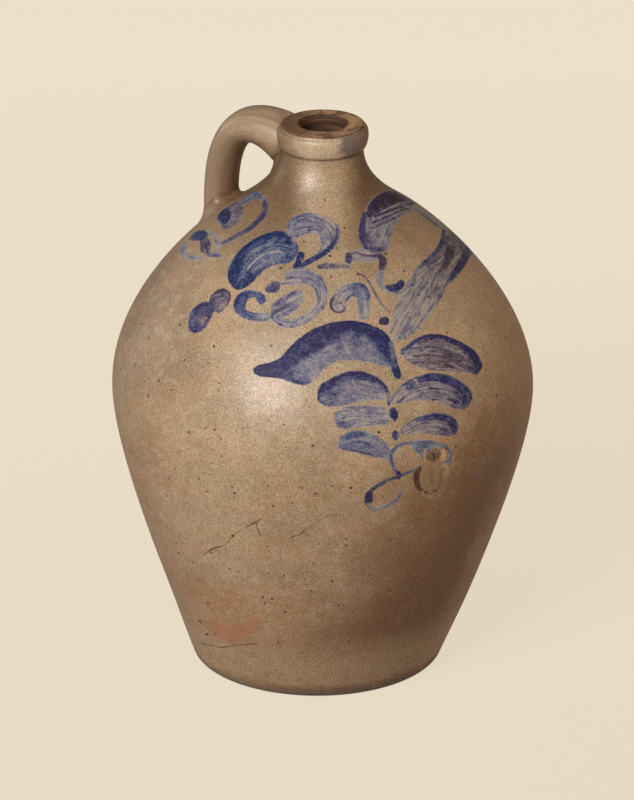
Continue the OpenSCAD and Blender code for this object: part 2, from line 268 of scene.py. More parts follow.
paperMix = addNode(tree, "ShaderNodeMixShader", {},
                   {0: seenByEye(tree), 1: dim.outputs[0], 2: paperMix.outputs[0]})
addNode(tree, "ShaderNodeOutputMaterial", {}, {0: paperMix.outputs[0]})
floor.data.materials.append(paperMaterial)


def addLamp(name, watts, size, away, azimuth, elevation, colour):
    turn, rise = math.radians(azimuth), math.radians(elevation)
    back = np.array([math.sin(turn) * math.cos(rise), -math.cos(turn) * math.cos(rise), math.sin(rise)])
    place = back * away + np.array([0, 0, 0.2])
    deselectAll()
    bpy.ops.object.light_add(type="AREA", location=place, rotation=(math.pi / 2 - rise, 0, turn))
    lamp = bpy.context.object
    lamp.name = name
    lamp.data.energy = watts
    lamp.data.size = size
    lamp.data.color = linearColour(colour)[:3]
    return lamp


addLamp("keySoftbox", studio["keyWatts"], studio["keySize"], studio["keyAway"],
        studio["keyAzimuth"], studio["keyElevation"], "#FFFCF8")
fill = addLamp("rightFill", studio["fillWatts"], studio["fillSize"], studio["fillAway"],
               studio["fillAzimuth"], studio["fillElevation"], "#FFE2C4")
fill.visible_glossy = False
addLamp("leftEdgeCard", studio["edgeWatts"], studio["edgeSize"], studio["edgeAway"],
        studio["edgeAzimuth"], studio["edgeElevation"], "#FFF6EA")
sheen = addLamp("sheenCard", studio["sheenWatts"], studio["sheenSize"], studio["sheenAway"],
                studio["sheenAzimuth"], studio["sheenElevation"], "#FFFCF6")
sheen.visible_diffuse = False
print("camera, floor and lamps placed")

# salt-glazed stoneware: clay fired with salt, so a thin glass with an orange-peel skin.
# To the eye: tan to brown, peppered every millimetre, iron specks, a broad satin shine
saltGlaze = {"tan": "#AE9478", "grey": "#9F8B70", "toastAndShade": "#6F5139", "rose": "#A37C5B", "amber": "#8A6138",
             "footBlue": "#5F5A5B", "iron": "#2E1D12", "pepper": "#5C4329", "straw": "#A88E70",
             "pale": "#C2AC90", "paintedShadeBrown": "#62482F", "rust": "#8F6C4A", "ash": "#AFA28C",
             "handleFootShade": "#6A4E36", "burn": "#4C3525", "strapInnerShade": "#6A4A30", "strapStreak": "#5F4A35",
             "darkPatchPlace": (0.126, -0.022, 0.152), "handleFootShadePlace": (-0.075, 0, 0.318),
             "grainMm": 0.95, "mottleMm": 26, "cloudMm": 8, "flashMm": 90, "pitMm": 2.4,
             "speckEveryMm": 6.5, "speckMm": 0.85, "roughness": 0.38, "specular": 0.4, "peelDepthMm": 0.05}


def mixColour(tree, share, first, second, mode="MIX"):
    node = addNode(tree, "ShaderNodeMix", {"data_type": "RGBA", "blend_type": mode})
    for socket, value in ((node.inputs[0], share), (node.inputs[6], first), (node.inputs[7], second)):
        if isinstance(value, bpy.types.NodeSocket):
            tree.links.new(value, socket)
        else:
            socket.default_value = value
    return node.outputs[2]


def mapRange(tree, value, low, high, toLow=0.0, toHigh=1.0, smooth=True):
    node = addNode(tree, "ShaderNodeMapRange", {1: low, 2: high, 3: toLow, 4: toHigh}, {0: value})
    if smooth:
        node.interpolation_type = "SMOOTHSTEP"
    return node.outputs[0]


def maths(tree, operation, first, second=None):
    node = addNode(tree, "ShaderNodeMath", {"operation": operation})
    for k, value in enumerate((first, second)):
        if isinstance(value, bpy.types.NodeSocket):
            tree.links.new(value, node.inputs[k])
        elif value is not None:
            node.inputs[k].default_value = value
    return node.outputs[0]


def vectorMaths(tree, operation, vector, other):
    node = addNode(tree, "ShaderNodeVectorMath", {"operation": operation, 1: other}, {0: vector})
    return node.outputs["Value"]


def tinted(tree, colour, share, name):
    return mixColour(tree, share, colour, linearColour(saltGlaze[name]))


def noiseOf(tree, vector, sizeMm, detail=2.0, roughness=0.5, offset=(0, 0, 0)):
    # one period of the noise is sizeMm on the jug
    placed = addNode(tree, "ShaderNodeMapping", {"Location": offset}, {0: vector})
    node = addNode(tree, "ShaderNodeTexNoise",
                   {"Scale": 1000 / sizeMm, "Detail": detail, "Roughness": roughness},
                   {"Vector": placed.outputs[0]})
    return node.outputs[0]


def greyOf(tree, value):
    return addNode(tree, "ShaderNodeCombineColor", {}, {0: value, 1: value, 2: value}).outputs[0]


def stonewareSkin(tree):
    # colour of the glazed clay, painted shade and light included, and its relief, alike on every piece, so that pieces
    # meet unseen
    place = addNode(tree, "ShaderNodeTexCoord").outputs["Object"]
    parts = addNode(tree, "ShaderNodeSeparateXYZ", {}, {0: place})
    z = parts.outputs[2]
    right = vectorMaths(tree, "DOT_PRODUCT", place, tuple(viewRight))
    mottle = noiseOf(tree, place, saltGlaze["mottleMm"], 4, 0.62)
    flash = noiseOf(tree, place, saltGlaze["flashMm"], 2, 0.5, (3.1, 1.7, 0.4))
    colour = mixColour(tree, mapRange(tree, mottle, 0.38, 0.62), linearColour(saltGlaze["tan"]),
                       linearColour(saltGlaze["grey"]))
    # rosy towards the lower left, where the flame licked it
    rose = maths(tree, "ADD", maths(tree, "MULTIPLY", z, -1.0), maths(tree, "MULTIPLY", flash, 0.1))
    rose = maths(tree, "MULTIPLY", mapRange(tree, rose, -0.2, 0.0), mapRange(tree, flash, 0.35, 0.65, 0.3, 0.9))
    colour = mixColour(tree, rose, colour, linearColour(saltGlaze["rose"]))
    # toasted brown low down and towards the right: partly kiln flashing, partly painted shade on the side away from
    # the lamps
    side = maths(tree, "ADD", right, maths(tree, "MULTIPLY", z, -0.8))
    side = maths(tree, "ADD", side, maths(tree, "MULTIPLY", maths(tree, "SUBTRACT", flash, 0.5), 0.1))
    side = maths(tree, "ADD", side, maths(tree, "MULTIPLY", maths(tree, "SUBTRACT", mottle, 0.5), 0.05))
    colour = tinted(tree, colour, mapRange(tree, side, -0.112, 0.012, 0.0, 0.88), "toastAndShade")
    # the darkest brown patch, to the right of the leaves' tip
    darkPatchWay = vectorMaths(tree, "DISTANCE", place, saltGlaze["darkPatchPlace"])
    darkPatchWay = maths(tree, "ADD", darkPatchWay, maths(tree, "MULTIPLY", maths(tree, "SUBTRACT", mottle, 0.5), 0.04))
    colour = tinted(tree, colour, mapRange(tree, darkPatchWay, 0.01, 0.05, 0.42, 0.0), "burn")
    # painted shade: the left flank above the belly darkened
    leftFlankShade = maths(tree, "MULTIPLY", mapRange(tree, right, -0.12, -0.055, 0.4, 0.0),
                       mapRange(tree, z, 0.185, 0.235))
    colour = mixColour(tree, leftFlankShade, colour, linearColour(saltGlaze["paintedShadeBrown"]))
    # and painted light below it: the lower left flank made paler
    lowerLeftLight = maths(tree, "MULTIPLY", mapRange(tree, right, -0.055, -0.03, 0.26, 0.0),
                  mapRange(tree, right, -0.115, -0.08))
    lowerLeftLight = maths(tree, "MULTIPLY", lowerLeftLight, mapRange(tree, z, 0.075, 0.11))
    lowerLeftLight = maths(tree, "MULTIPLY", lowerLeftLight, mapRange(tree, z, 0.2, 0.235, 1.0, 0.0))
    colour = mixColour(tree, lowerLeftLight, colour, linearColour(saltGlaze["pale"]))
    # an amber flush beside the leaves
    amber = maths(tree, "MULTIPLY", mapRange(tree, right, 0.03, 0.075), mapRange(tree, right, 0.1, 0.135, 1.0, 0.0))
    amber = maths(tree, "MULTIPLY", amber, mapRange(tree, z, 0.1, 0.15))
    amber = maths(tree, "MULTIPLY", amber, mapRange(tree, z, 0.18, 0.235, 0.55, 0.0))
    amber = maths(tree, "MULTIPLY", amber, mapRange(tree, mottle, 0.35, 0.65, 0.2, 1.0))
    colour = tinted(tree, colour, amber, "amber")
    # painted shade: the neck darker on both flanks, and a dark line painted in the groove under the collar
    neckFlankShade = maths(tree, "ABSOLUTE", maths(tree, "SUBTRACT", right, 0.001))
    neckFlankShade = maths(tree, "MULTIPLY", mapRange(tree, neckFlankShade, 0.006, 0.027), mapRange(tree, z, 0.285, 0.34))
    neckFlankShade = maths(tree, "MULTIPLY", neckFlankShade, mapRange(tree, z, 0.357, 0.364, 1.0, 0.45))
    colour = mixColour(tree, maths(tree, "MULTIPLY", neckFlankShade, 0.92), colour, linearColour(saltGlaze["paintedShadeBrown"]))
    flat = addNode(tree, "ShaderNodeVectorMath", {"operation": "MULTIPLY", 1: (1, 1, 0)}, {0: place}).outputs[0]
    fromAxis = addNode(tree, "ShaderNodeVectorMath", {"operation": "LENGTH"}, {0: flat}).outputs["Value"]
    grooveShade = mapRange(tree, maths(tree, "ABSOLUTE", maths(tree, "SUBTRACT", z, 0.3588)), 0.0002, 0.0016, 0.7, 0.0)
    grooveShade = maths(tree, "MULTIPLY", grooveShade, mapRange(tree, fromAxis, 0.029, 0.032, 1.0, 0.0))
    colour = mixColour(tree, grooveShade, colour, linearColour(saltGlaze["iron"]))
    # painted reflected light: the body paler along its right edge
    rightEdgeLight = maths(tree, "ADD", maths(tree, "DIVIDE", right, fromAxis),
                 mapRange(tree, flash, 0.3, 0.7, -0.1, 0.1, smooth=False))
    rightEdgeLight = maths(tree, "ADD", rightEdgeLight, mapRange(tree, mottle, 0.3, 0.7, -0.08, 0.08, smooth=False))
    rightEdgeLight = maths(tree, "MULTIPLY", mapRange(tree, rightEdgeLight, 0.8, 0.98, 0.0, 0.58),
                 mapRange(tree, z, 0.3, 0.34, 1.0, 0.0))
    colour = mixColour(tree, rightEdgeLight, colour, linearColour(saltGlaze["straw"]))
    # a straw-coloured band, then the grey-blue breath of ash round the foot
    straw = maths(tree, "MULTIPLY", mapRange(tree, z, 0.004, 0.013), mapRange(tree, z, 0.024, 0.058, 0.85, 0.0))
    straw = maths(tree, "MULTIPLY", straw, mapRange(tree, flash, 0.3, 0.6, 0.7, 1.0))
    colour = tinted(tree, colour, straw, "straw")
    foot = maths(tree, "ADD", z, maths(tree, "MULTIPLY", mottle, 0.014))
    colour = mixColour(tree, mapRange(tree, foot, 0.007, 0.017, 0.8, 0.0), colour, linearColour(saltGlaze["footBlue"]))
    # clouds the size of a fingertip, rusty and ashen by turns
    clouds = noiseOf(tree, place, saltGlaze["cloudMm"], 3, 0.6, (0.3, 0.9, 0.6))
    rustShare = maths(tree, "MULTIPLY", mapRange(tree, clouds, 0.5, 0.68, 0.0, 0.3),
                      mapRange(tree, z, 0.2, 0.3, 1.0, 0.4))
    colour = mixColour(tree, rustShare, colour, linearColour(saltGlaze["rust"]))
    ashShare = maths(tree, "MULTIPLY", mapRange(tree, clouds, 0.34, 0.48, 0.4, 0.0),
                     mapRange(tree, side, -0.1, -0.02, 1.0, 0.2))
    ashShare = maths(tree, "MULTIPLY", ashShare, mapRange(tree, neckFlankShade, 0.1, 0.7, 1.0, 0.1))
    colour = mixColour(tree, ashShare, colour, linearColour(saltGlaze["ash"]))
    # painted shade: the handle's foot and the wall beside it darkened brown
    footShadeWay = vectorMaths(tree, "DISTANCE", place, saltGlaze["handleFootShadePlace"])
    colour = tinted(tree, colour, mapRange(tree, footShadeWay, 0.011, 0.03, 0.72, 0.0), "handleFootShade")
    # grain of the salt glaze, brown in its hollows, and pepper of fine iron
    grain = noiseOf(tree, place, saltGlaze["grainMm"], 2.5, 0.66)
    grainColour = mixColour(tree, mapRange(tree, grain, 0.32, 0.68, smooth=False),
                            (0.56, 0.49, 0.41, 1), (1.34, 1.36, 1.4, 1))
    colour = mixColour(tree, 1.0, colour, grainColour, "MULTIPLY")
    pits = addNode(tree, "ShaderNodeTexVoronoi", {"Scale": 1000 / saltGlaze["pitMm"]}, {"Vector": place})
    pitShare = maths(tree, "MULTIPLY", mapRange(tree, pits.outputs["Distance"], 0.05, 0.3, 0.38, 0.0),
                     mapRange(tree, mottle, 0.35, 0.62, 0.15, 1.0))
    colour = mixColour(tree, pitShare, colour, linearColour(saltGlaze["pepper"]))
    specks = addNode(tree, "ShaderNodeTexVoronoi", {"Scale": 1000 / saltGlaze["speckEveryMm"]}, {"Vector": place})
    edge = saltGlaze["speckMm"] / saltGlaze["speckEveryMm"]
    chosen = addNode(tree, "ShaderNodeSeparateColor", {}, {0: specks.outputs["Color"]})
    reach = mapRange(tree, chosen.outputs[0], 0.35, 1.0, 0.25 * edge, edge, smooth=False)
    # most of them lie on the left, below the shoulder
    crowd = maths(tree, "MAXIMUM", mapRange(tree, right, -0.06, 0.05), mapRange(tree, z, 0.22, 0.28))
    rarest = mapRange(tree, crowd, 0.0, 1.0, 0.35, 0.93, smooth=False)
    pastSpeck = maths(tree, "SUBTRACT", specks.outputs["Distance"], reach)
    speck = maths(tree, "MULTIPLY", mapRange(tree, pastSpeck, 0.0, 0.05, 0.88, 0.0),
                  maths(tree, "GREATER_THAN", chosen.outputs[0], rarest))
    colour = mixColour(tree, speck, colour, linearColour(saltGlaze["iron"]))
    rings = addNode(tree, "ShaderNodeTexNoise", {"Scale": 1.0, "Detail": 2.0},
                    {"Vector": addNode(tree, "ShaderNodeMapping", {"Scale": (6, 6, 120)}, {0: place}).outputs[0]})
    relief = maths(tree, "ADD", grain, maths(tree, "MULTIPLY", rings.outputs[0], 1.2))
    return place, colour, relief, grain


def glazeShader(tree, colour, relief, grain, roughness=None, specular=None):
    bump = addNode(tree, "ShaderNodeBump", {"Strength": 0.36, "Distance": saltGlaze["peelDepthMm"] * mm * 3},
                   {"Height": relief})
    level = roughness or saltGlaze["roughness"]
    rough = mapRange(tree, grain, 0.3, 0.7, level + 0.1, level - 0.06, smooth=False)
    shader = addNode(tree, "ShaderNodeBsdfPrincipled", {"IOR": 1.5},
                     {"Base Color": colour, "Roughness": rough, "Normal": bump.outputs[0]})
    if isinstance(specular, bpy.types.NodeSocket):
        tree.links.new(specular, shader.inputs["Specular IOR Level"])
    else:
        shine = saltGlaze["specular"] if specular is None else specular
        shader.inputs["Specular IOR Level"].default_value = shine
    addNode(tree, "ShaderNodeOutputMaterial", {}, {0: shader.outputs[0]})
    return shader


def startMaterial(name):
    material = bpy.data.materials.new(name)
    material.use_nodes = True
    material.node_tree.nodes.clear()
    return material, material.node_tree


stoneware, tree = startMaterial("saltGlazedStoneware")
place, colour, relief, grain = stonewareSkin(tree)
glazeShader(tree, colour, relief, grain)

# pulled handle: the same clay, with finger-drawn streaks along it and its inner side darkened brown as painted shade
pulledClay, tree = startMaterial("pulledStonewareHandle")
place, colour, relief, grain = stonewareSkin(tree)
drawn = addNode(tree, "ShaderNodeAttribute", {"attribute_name": "drawn"}).outputs["Vector"]
streaks = addNode(tree, "ShaderNodeTexNoise", {"Scale": 1.0, "Detail": 3.0, "Roughness": 0.6},
                  {"Vector": addNode(tree, "ShaderNodeMapping", {"Scale": (4.5, 4.5, 3)}, {0: drawn}).outputs[0]})
inner = addNode(tree, "ShaderNodeSeparateXYZ", {}, {0: drawn}).outputs[0]
colour = tinted(tree, colour, 0.3, "pale")
# painted shade on the strap's inner side
colour = tinted(tree, colour, mapRange(tree, inner, 0.25, -0.8, 0.0, 0.37), "strapInnerShade")
colour = tinted(tree, colour, mapRange(tree, streaks.outputs[0], 0.42, 0.7, 0.0, 0.36), "strapStreak")
relief = maths(tree, "ADD", relief, maths(tree, "MULTIPLY", streaks.outputs[0], 2.0))
glazeShader(tree, colour, relief, grain, 0.36, 0.4)

# mouth collar: rubbed by stoppers, so the clay shows dark brown along its two edges
mouth = {"top": "#B38C68", "topDark": "#6E4C37", "worn": "#2F1D14", "blueGrey": "#5E5757", "chip": "#8F6744"}
rubbedCollar, tree = startMaterial("rubbedStonewareCollar")
place, colour, relief, grain = stonewareSkin(tree)
parts = addNode(tree, "ShaderNodeSeparateXYZ", {}, {0: place})
flat = addNode(tree, "ShaderNodeCombineXYZ", {}, {0: parts.outputs[0], 1: parts.outputs[1]})
radius = addNode(tree, "ShaderNodeVectorMath", {"operation": "LENGTH"}, {0: flat.outputs[0]}).outputs["Value"]
across = vectorMaths(tree, "DOT_PRODUCT", place, tuple(viewRight))
# the collar made paler all over: painted light standing in for the highlight on it
colour = mixColour(tree, 0.55, colour, linearColour(saltGlaze["pale"]))
grainShade = greyOf(tree, mapRange(tree, grain, 0.32, 0.68, 0.84, 1.15, smooth=False))
colour = mixColour(tree, 1.0, colour, grainShade, "MULTIPLY")
wobble = noiseOf(tree, place, 9, 3, 0.6)
rub = noiseOf(tree, place, 4, 3, 0.65, (0.2, 0.5, 0.1))
top = maths(tree, "ADD", parts.outputs[2], maths(tree, "MULTIPLY", rub, 0.0016))
onTop = mapRange(tree, top, 0.3738, 0.3752)
# the rim's flat top is darker on its left
topShare = maths(tree, "MAXIMUM", mapRange(tree, wobble, 0.42, 0.6),
                 mapRange(tree, across, -0.02, 0.01, 0.85, 0.0))
topColour = mixColour(tree, topShare, linearColour(mouth["top"]), linearColour(mouth["topDark"]))
rubShade = greyOf(tree, mapRange(tree, rub, 0.3, 0.7, 0.6, 1.4, smooth=False))
topColour = mixColour(tree, 1.0, topColour, rubShade, "MULTIPLY")
colour = mixColour(tree, maths(tree, "MULTIPLY", onTop, 0.92), colour, topColour)
outer = maths(tree, "SUBTRACT", radius, maths(tree, "MULTIPLY", rub, 0.0012))
fromEdge = maths(tree, "ABSOLUTE", maths(tree, "SUBTRACT", outer, 0.0266))
outerRub = mapRange(tree, fromEdge, 0.0002, 0.001, 0.72, 0.0)
outerRub = maths(tree, "MULTIPLY", outerRub, mapRange(tree, parts.outputs[2], 0.3728, 0.3738))
outerRub = maths(tree, "MULTIPLY", outerRub, mapRange(tree, wobble, 0.35, 0.55, 0.4, 0.8))
colour = mixColour(tree, outerRub, colour, linearColour(mouth["worn"]))
innerRub = maths(tree, "MULTIPLY", mapRange(tree, outer, 0.0154, 0.0172, 1.0, 0.0), onTop)
colour = mixColour(tree, maths(tree, "MULTIPLY", innerRub, 0.9), colour, linearColour(mouth["worn"]))
# a blue-grey drip on the right, with brown chips where the glaze has flaked
across = maths(tree, "ADD", across, maths(tree, "MULTIPLY", maths(tree, "SUBTRACT", wobble, 0.5), 0.02))
# painted shade: the collar darker towards its left end
leftShade = mapRange(tree, across, -0.028, -0.008, 0.75, 0.0)
colour = mixColour(tree, leftShade, colour, linearColour(saltGlaze["paintedShadeBrown"]))
across = maths(tree, "ADD", across, maths(tree, "MULTIPLY", maths(tree, "SUBTRACT", rub, 0.5), 0.012))
blueShare = maths(tree, "MULTIPLY", mapRange(tree, across, 0.0075, 0.017, 0.0, 0.85),
                  mapRange(tree, onTop, 0.0, 0.6, 1.0, 0.0))
colour = mixColour(tree, blueShare, colour, linearColour(mouth["blueGrey"]))
chipShare = maths(tree, "MULTIPLY", mapRange(tree, across, 0.018, 0.024), mapRange(tree, rub, 0.45, 0.6))
colour = mixColour(tree, maths(tree, "MULTIPLY", chipShare, 0.8), colour, linearColour(mouth["chip"]))
glazeShader(tree, colour, relief, grain, None, mapRange(tree, onTop, 0.0, 1.0, saltGlaze["specular"], 0.1))

# bare clay inside: matt brown, with turning lines
innerClay, tree = startMaterial("unglazedInnerClay")
place = addNode(tree, "ShaderNodeTexCoord").outputs["Object"]
turned = addNode(tree, "ShaderNodeMapping", {"Scale": (0.3, 0.3, 4)}, {0: place})
turning = noiseOf(tree, turned.outputs[0], 16, 3, 0.6)
grainInside = noiseOf(tree, place, 2, 3, 0.6)
colour = mixColour(tree, mapRange(tree, turning, 0.35, 0.65), linearColour("#704F3A"), linearColour("#3B2820"))
colour = mixColour(tree, mapRange(tree, grainInside, 0.4, 0.7, 0.0, 0.4), colour, linearColour("#5C3D2A"))
glazeShader(tree, colour, turning, grainInside, 0.78, 0.15)

# cobalt slip under the salt glaze: a thin paint of blue clay, streaked by the brush.
# To the eye: indigo where it pooled, see-through blue-grey where the brush ran dry
cobaltSlip = {"blue": ("#9C938F", "#7E7B87", "#5F637B", "#3B4169", "#1B234F"),
              "teal": ("#9A9591", "#7A8286", "#5A6A78", "#344C69", "#162C50"),
              "purple": ("#9A918D", "#7F757A", "#625660", "#46394F", "#31263C"),
              "stops": (0.0, 0.3, 0.55, 0.8, 1.0),
              "streakMm": 3.4, "bleedMm": 5, "sparkMm": 1.7, "fleckMm": 2.1,
              "sheen": 0.28, "darkSheen": 0.05}
slipMaterial, tree = startMaterial("cobaltSlipUnderSaltGlaze")
place, colour, relief, grain = stonewareSkin(tree)


def attributeOf(tree, name):
    return addNode(tree, "ShaderNodeAttribute", {"attribute_name": name})


ink = attributeOf(tree, "ink").outputs["Fac"]
tone = attributeOf(tree, "tone").outputs["Fac"]
streak = attributeOf(tree, "streak").outputs["Fac"]
hue = attributeOf(tree, "hue").outputs["Fac"]
speckled = attributeOf(tree, "speck").outputs["Fac"]
brush = attributeOf(tree, "brush").outputs["Vector"]
drawnOut = addNode(tree, "ShaderNodeMapping", {"Scale": (0.03, 1 / cobaltSlip["streakMm"], 5.7)}, {0: brush})
bristles = addNode(tree, "ShaderNodeTexNoise", {"Scale": 1.0, "Detail": 2.0, "Roughness": 0.55},
                   {"Vector": drawnOut.outputs[0]})
bleed = noiseOf(tree, place, cobaltSlip["bleedMm"], 3, 0.6)


def hairAt(tree, level, reach, strength):
    away = maths(tree, "ABSOLUTE", maths(tree, "SUBTRACT", bristles.outputs[0], level))
    return mapRange(tree, away, 0.0, reach, strength, 0.0)


# single hairs of the brush draw dark lines with pale ones beside them
darkHair = hairAt(tree, 0.5, 0.045, 0.95)
paleHair = hairAt(tree, 0.6, 0.05, 0.3)
hairs = maths(tree, "SUBTRACT", maths(tree, "SUBTRACT", darkHair, paleHair), 0.11)
hairs = maths(tree, "ADD", hairs, mapRange(tree, bristles.outputs[0], 0.3, 0.7, 0.14, -0.2, smooth=False))
tone = maths(tree, "ADD", maths(tree, "MINIMUM", tone, 1.03), maths(tree, "MULTIPLY", streak, hairs))
tone = maths(tree, "ADD", tone, mapRange(tree, bleed, 0.3, 0.7, -0.13, 0.13, smooth=False))
tone = maths(tree, "ADD", tone, mapRange(tree, grain, 0.32, 0.68, 0.17, -0.17, smooth=False))
flecks = noiseOf(tree, place, cobaltSlip["fleckMm"], 2, 0.6, (0.7, 0.2, 0.9))
tone = maths(tree, "ADD", tone, mapRange(tree, flecks, 0.33, 0.67, 0.1, -0.15, smooth=False))
sparks = addNode(tree, "ShaderNodeTexVoronoi", {"Scale": 1000 / cobaltSlip["sparkMm"]}, {"Vector": place})
sparkShare = mapRange(tree, sparks.outputs["Distance"], 0.08, 0.26, 0.7, 0.0)
tone = maths(tree, "SUBTRACT", tone, maths(tree, "MULTIPLY", speckled, sparkShare))


def rampOf(tree, share, colours, stops):
    node = addNode(tree, "ShaderNodeValToRGB", {}, {0: share})
    ramp = node.color_ramp
    while len(ramp.elements) < len(stops):
        ramp.elements.new(0.5)
    for element, stop, hexText in zip(ramp.elements, stops, colours):
        element.position = stop
        element.color = linearColour(hexText)
    return node.outputs[0]


tone = maths(tree, "SUBTRACT", tone, mapRange(tree, ink, 0.15, 0.9, 0.35, 0.0, smooth=False))
blues = rampOf(tree, tone, cobaltSlip["blue"], cobaltSlip["stops"])
purples = rampOf(tree, tone, cobaltSlip["purple"], cobaltSlip["stops"])
teals = rampOf(tree, tone, cobaltSlip["teal"], cobaltSlip["stops"])
slipColour = mixColour(tree, maths(tree, "MAXIMUM", hue, 0.0), blues, purples)
slipColour = mixColour(tree, maths(tree, "MAXIMUM", maths(tree, "MULTIPLY", hue, -1.0), 0.0), slipColour, teals)
# thin edges of the slip stay pale, as a halo
torn = maths(tree, "ADD", ink, mapRange(tree, bleed, 0.3, 0.7, -0.12, 0.12, smooth=False))
torn = maths(tree, "ADD", torn, mapRange(tree, grain, 0.3, 0.7, 0.16, -0.16, smooth=False))
cover = maths(tree, "MULTIPLY", mapRange(tree, tone, -0.4, 0.15, 0.2, 0.97, smooth=False),
              mapRange(tree, torn, 0.06, 0.75, smooth=False))
colour = mixColour(tree, cover, colour, slipColour)
sheenLevel = mapRange(tree, maths(tree, "MULTIPLY", cover, tone), 0.1, 0.7,
                      cobaltSlip["sheen"], cobaltSlip["darkSheen"])
glazeShader(tree, colour, relief, grain, None, sheenLevel)

# marks of the kiln: hairline cracks, a bare kiss mark and the scar of a burst pebble
kilnMarks, tree = startMaterial("kilnMarksInStoneware")
place, colour, relief, grain = stonewareSkin(tree)
ink = attributeOf(tree, "ink").outputs["Fac"]
tone = attributeOf(tree, "tone").outputs["Fac"]
hue = attributeOf(tree, "hue").outputs["Fac"]
bleed = noiseOf(tree, place, 1.6, 3, 0.7)
markColour = rampOf(tree, hue, ("#291A10", "#4E3826", "#A08B6D", "#C29D77", "#A86449"), (0.0, 0.3, 0.6, 0.8, 1.0))
cover = maths(tree, "MULTIPLY", mapRange(tree, ink, 0.15, 0.95, smooth=False), tone)
cover = maths(tree, "MULTIPLY", cover, mapRange(tree, bleed, 0.3, 0.7, 1.25, 0.55, smooth=False))
colour = mixColour(tree, cover, colour, markColour)
glazeShader(tree, colour, relief, grain)
print("materials made")


# the cage that gives every piece the same slight lean
deselectAll()
bpy.ops.object.add(type="LATTICE", location=(0, 0, 0.188))
leanCage = bpy.context.object
leanCage.name = "leanCage"
leanCage.scale = (0.4, 0.4, 0.376)
leanCage.data.points_u, leanCage.data.points_v, leanCage.data.points_w = 2, 2, len(leanLevels)
leanCage.data.interpolation_type_u = leanCage.data.interpolation_type_v = "KEY_LINEAR"
leanCage.data.interpolation_type_w = "KEY_CATMULL_ROM"
for k, point in enumerate(leanCage.data.points):
    shift = leanLevels[k // 4][1] * mm
    point.co_deform.x += shift * viewRight[0] / 0.4
    point.co_deform.y += shift * viewRight[1] / 0.4
bpy.context.view_layer.update()


def finishPiece(piece, materials, nodes, sharpDegrees=35, thickness=None):
    # normals first, then the lean and the wall thickness, then smoothing and the frame's words
    makeActive(piece)
    bpy.ops.object.mode_set(mode="EDIT")
    bpy.ops.mesh.select_all(action="SELECT")
    bpy.ops.mesh.remove_doubles(threshold=2e-6)
    bpy.ops.mesh.normals_make_consistent(inside=False)
    bpy.ops.object.mode_set(mode="OBJECT")
    lean = piece.modifiers.new("lean", "LATTICE")
    lean.object = leanCage
    if thickness:
        solid = piece.modifiers.new("thickness", "SOLIDIFY")
        solid.thickness = thickness
        solid.offset = -1
    applyModifiers(piece)
    bpy.ops.object.shade_smooth_by_angle(angle=math.radians(sharpDegrees))
    for material in materials:
        piece.data.materials.append(material)
    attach(piece, "root")
    if nodes:
        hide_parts(*nodes)
    return piece


def turnOnWheel(name, outline, steps):
    # the outline in mm is drawn as a chain of edges and spun once round the axis
    deselectAll()
    bpy.ops.mesh.primitive_circle_add(vertices=3, radius=0.001, location=(0, 0, 0))
    piece = bpy.context.object
    piece.name = name
    bpy.ops.object.mode_set(mode="EDIT")
    bpy.ops.mesh.select_all(action="SELECT")
    bpy.ops.mesh.merge(type="CENTER")
    last = np.zeros(2)
    for k, point in enumerate(outline):
        step = (np.array(point, float) - last) * mm
        last = np.array(point, float)
        if k == 0:
            bpy.ops.transform.translate(value=(step[0], 0, step[1]))
        else:
            bpy.ops.mesh.extrude_region_move(TRANSFORM_OT_translate={"value": (step[0], 0, step[1])})
    bpy.ops.mesh.select_all(action="SELECT")
    bpy.ops.mesh.spin(steps=steps, angle=2 * math.pi, center=(0, 0, 0), axis=(0, 0, 1))
    bpy.ops.mesh.select_all(action="SELECT")
    bpy.ops.mesh.remove_doubles(threshold=2e-6)
    bpy.ops.object.mode_set(mode="OBJECT")
    return piece


def arcPoints(centre, radius, start, end, steps):
    return [(centre[0] + radius * math.cos(math.radians(start + (end - start) * k / steps)),
             centre[1] + radius * math.sin(math.radians(start + (end - start) * k / steps)))
            for k in range(steps + 1)]


def giveInside(piece, radiusSlack):
    # faces that look towards the axis or down into the jug are the unglazed inside
    for face in piece.data.polygons:
        centre = np.array(face.center) / mm
        out = np.hypot(centre[0], centre[1])
        if out < radiusAt(centre[2]) - radiusSlack and centre[2] > 2:
            face.material_index = 1


# lower thrown section: foot, outer wall, keyed seam, inside and floor
keyPoint = (wall["bellyR"] - wall["thick"] / 2, wall["bellyZ"] - wall["key"])
footArc = arcPoints((wall["footR"] - wall["footEdge"] * math.cos(footLean), wall["footEdge"]), wall["footEdge"],
                    -90, -wall["footLean"], 8)
lowerInner = lowerLine - wall["thick"] * lowerOut
cornerTop = wall["floor"] + wall["floorCorner"] * (1 - math.sin(footLean))
cornerR = np.interp(cornerTop, lowerInner[:, 1], lowerInner[:, 0])
floorArc = arcPoints((cornerR - wall["floorCorner"] * math.cos(footLean), wall["floor"] + wall["floorCorner"]),
                     wall["floorCorner"], -90, -wall["footLean"], 6)
insideRun = [p for p in lowerInner[::6] if p[1] > cornerTop + 1]
lowerOutline = ([(0, 0), (30, 0), (60, 0)] + footArc + [tuple(p) for p in lowerLine[1:]] + [keyPoint]
                + [tuple(lowerInner[-1])] + [tuple(p) for p in insideRun[::-1]][1:] + floorArc[::-1]
                + [(40, wall["floor"]), (0, wall["floor"])])
lowerBody = turnOnWheel("thrownLowerBody", lowerOutline, wall["aroundSteps"])
finishPiece(lowerBody, [stoneware, innerClay], ["lower_body"])
giveInside(lowerBody, 5)

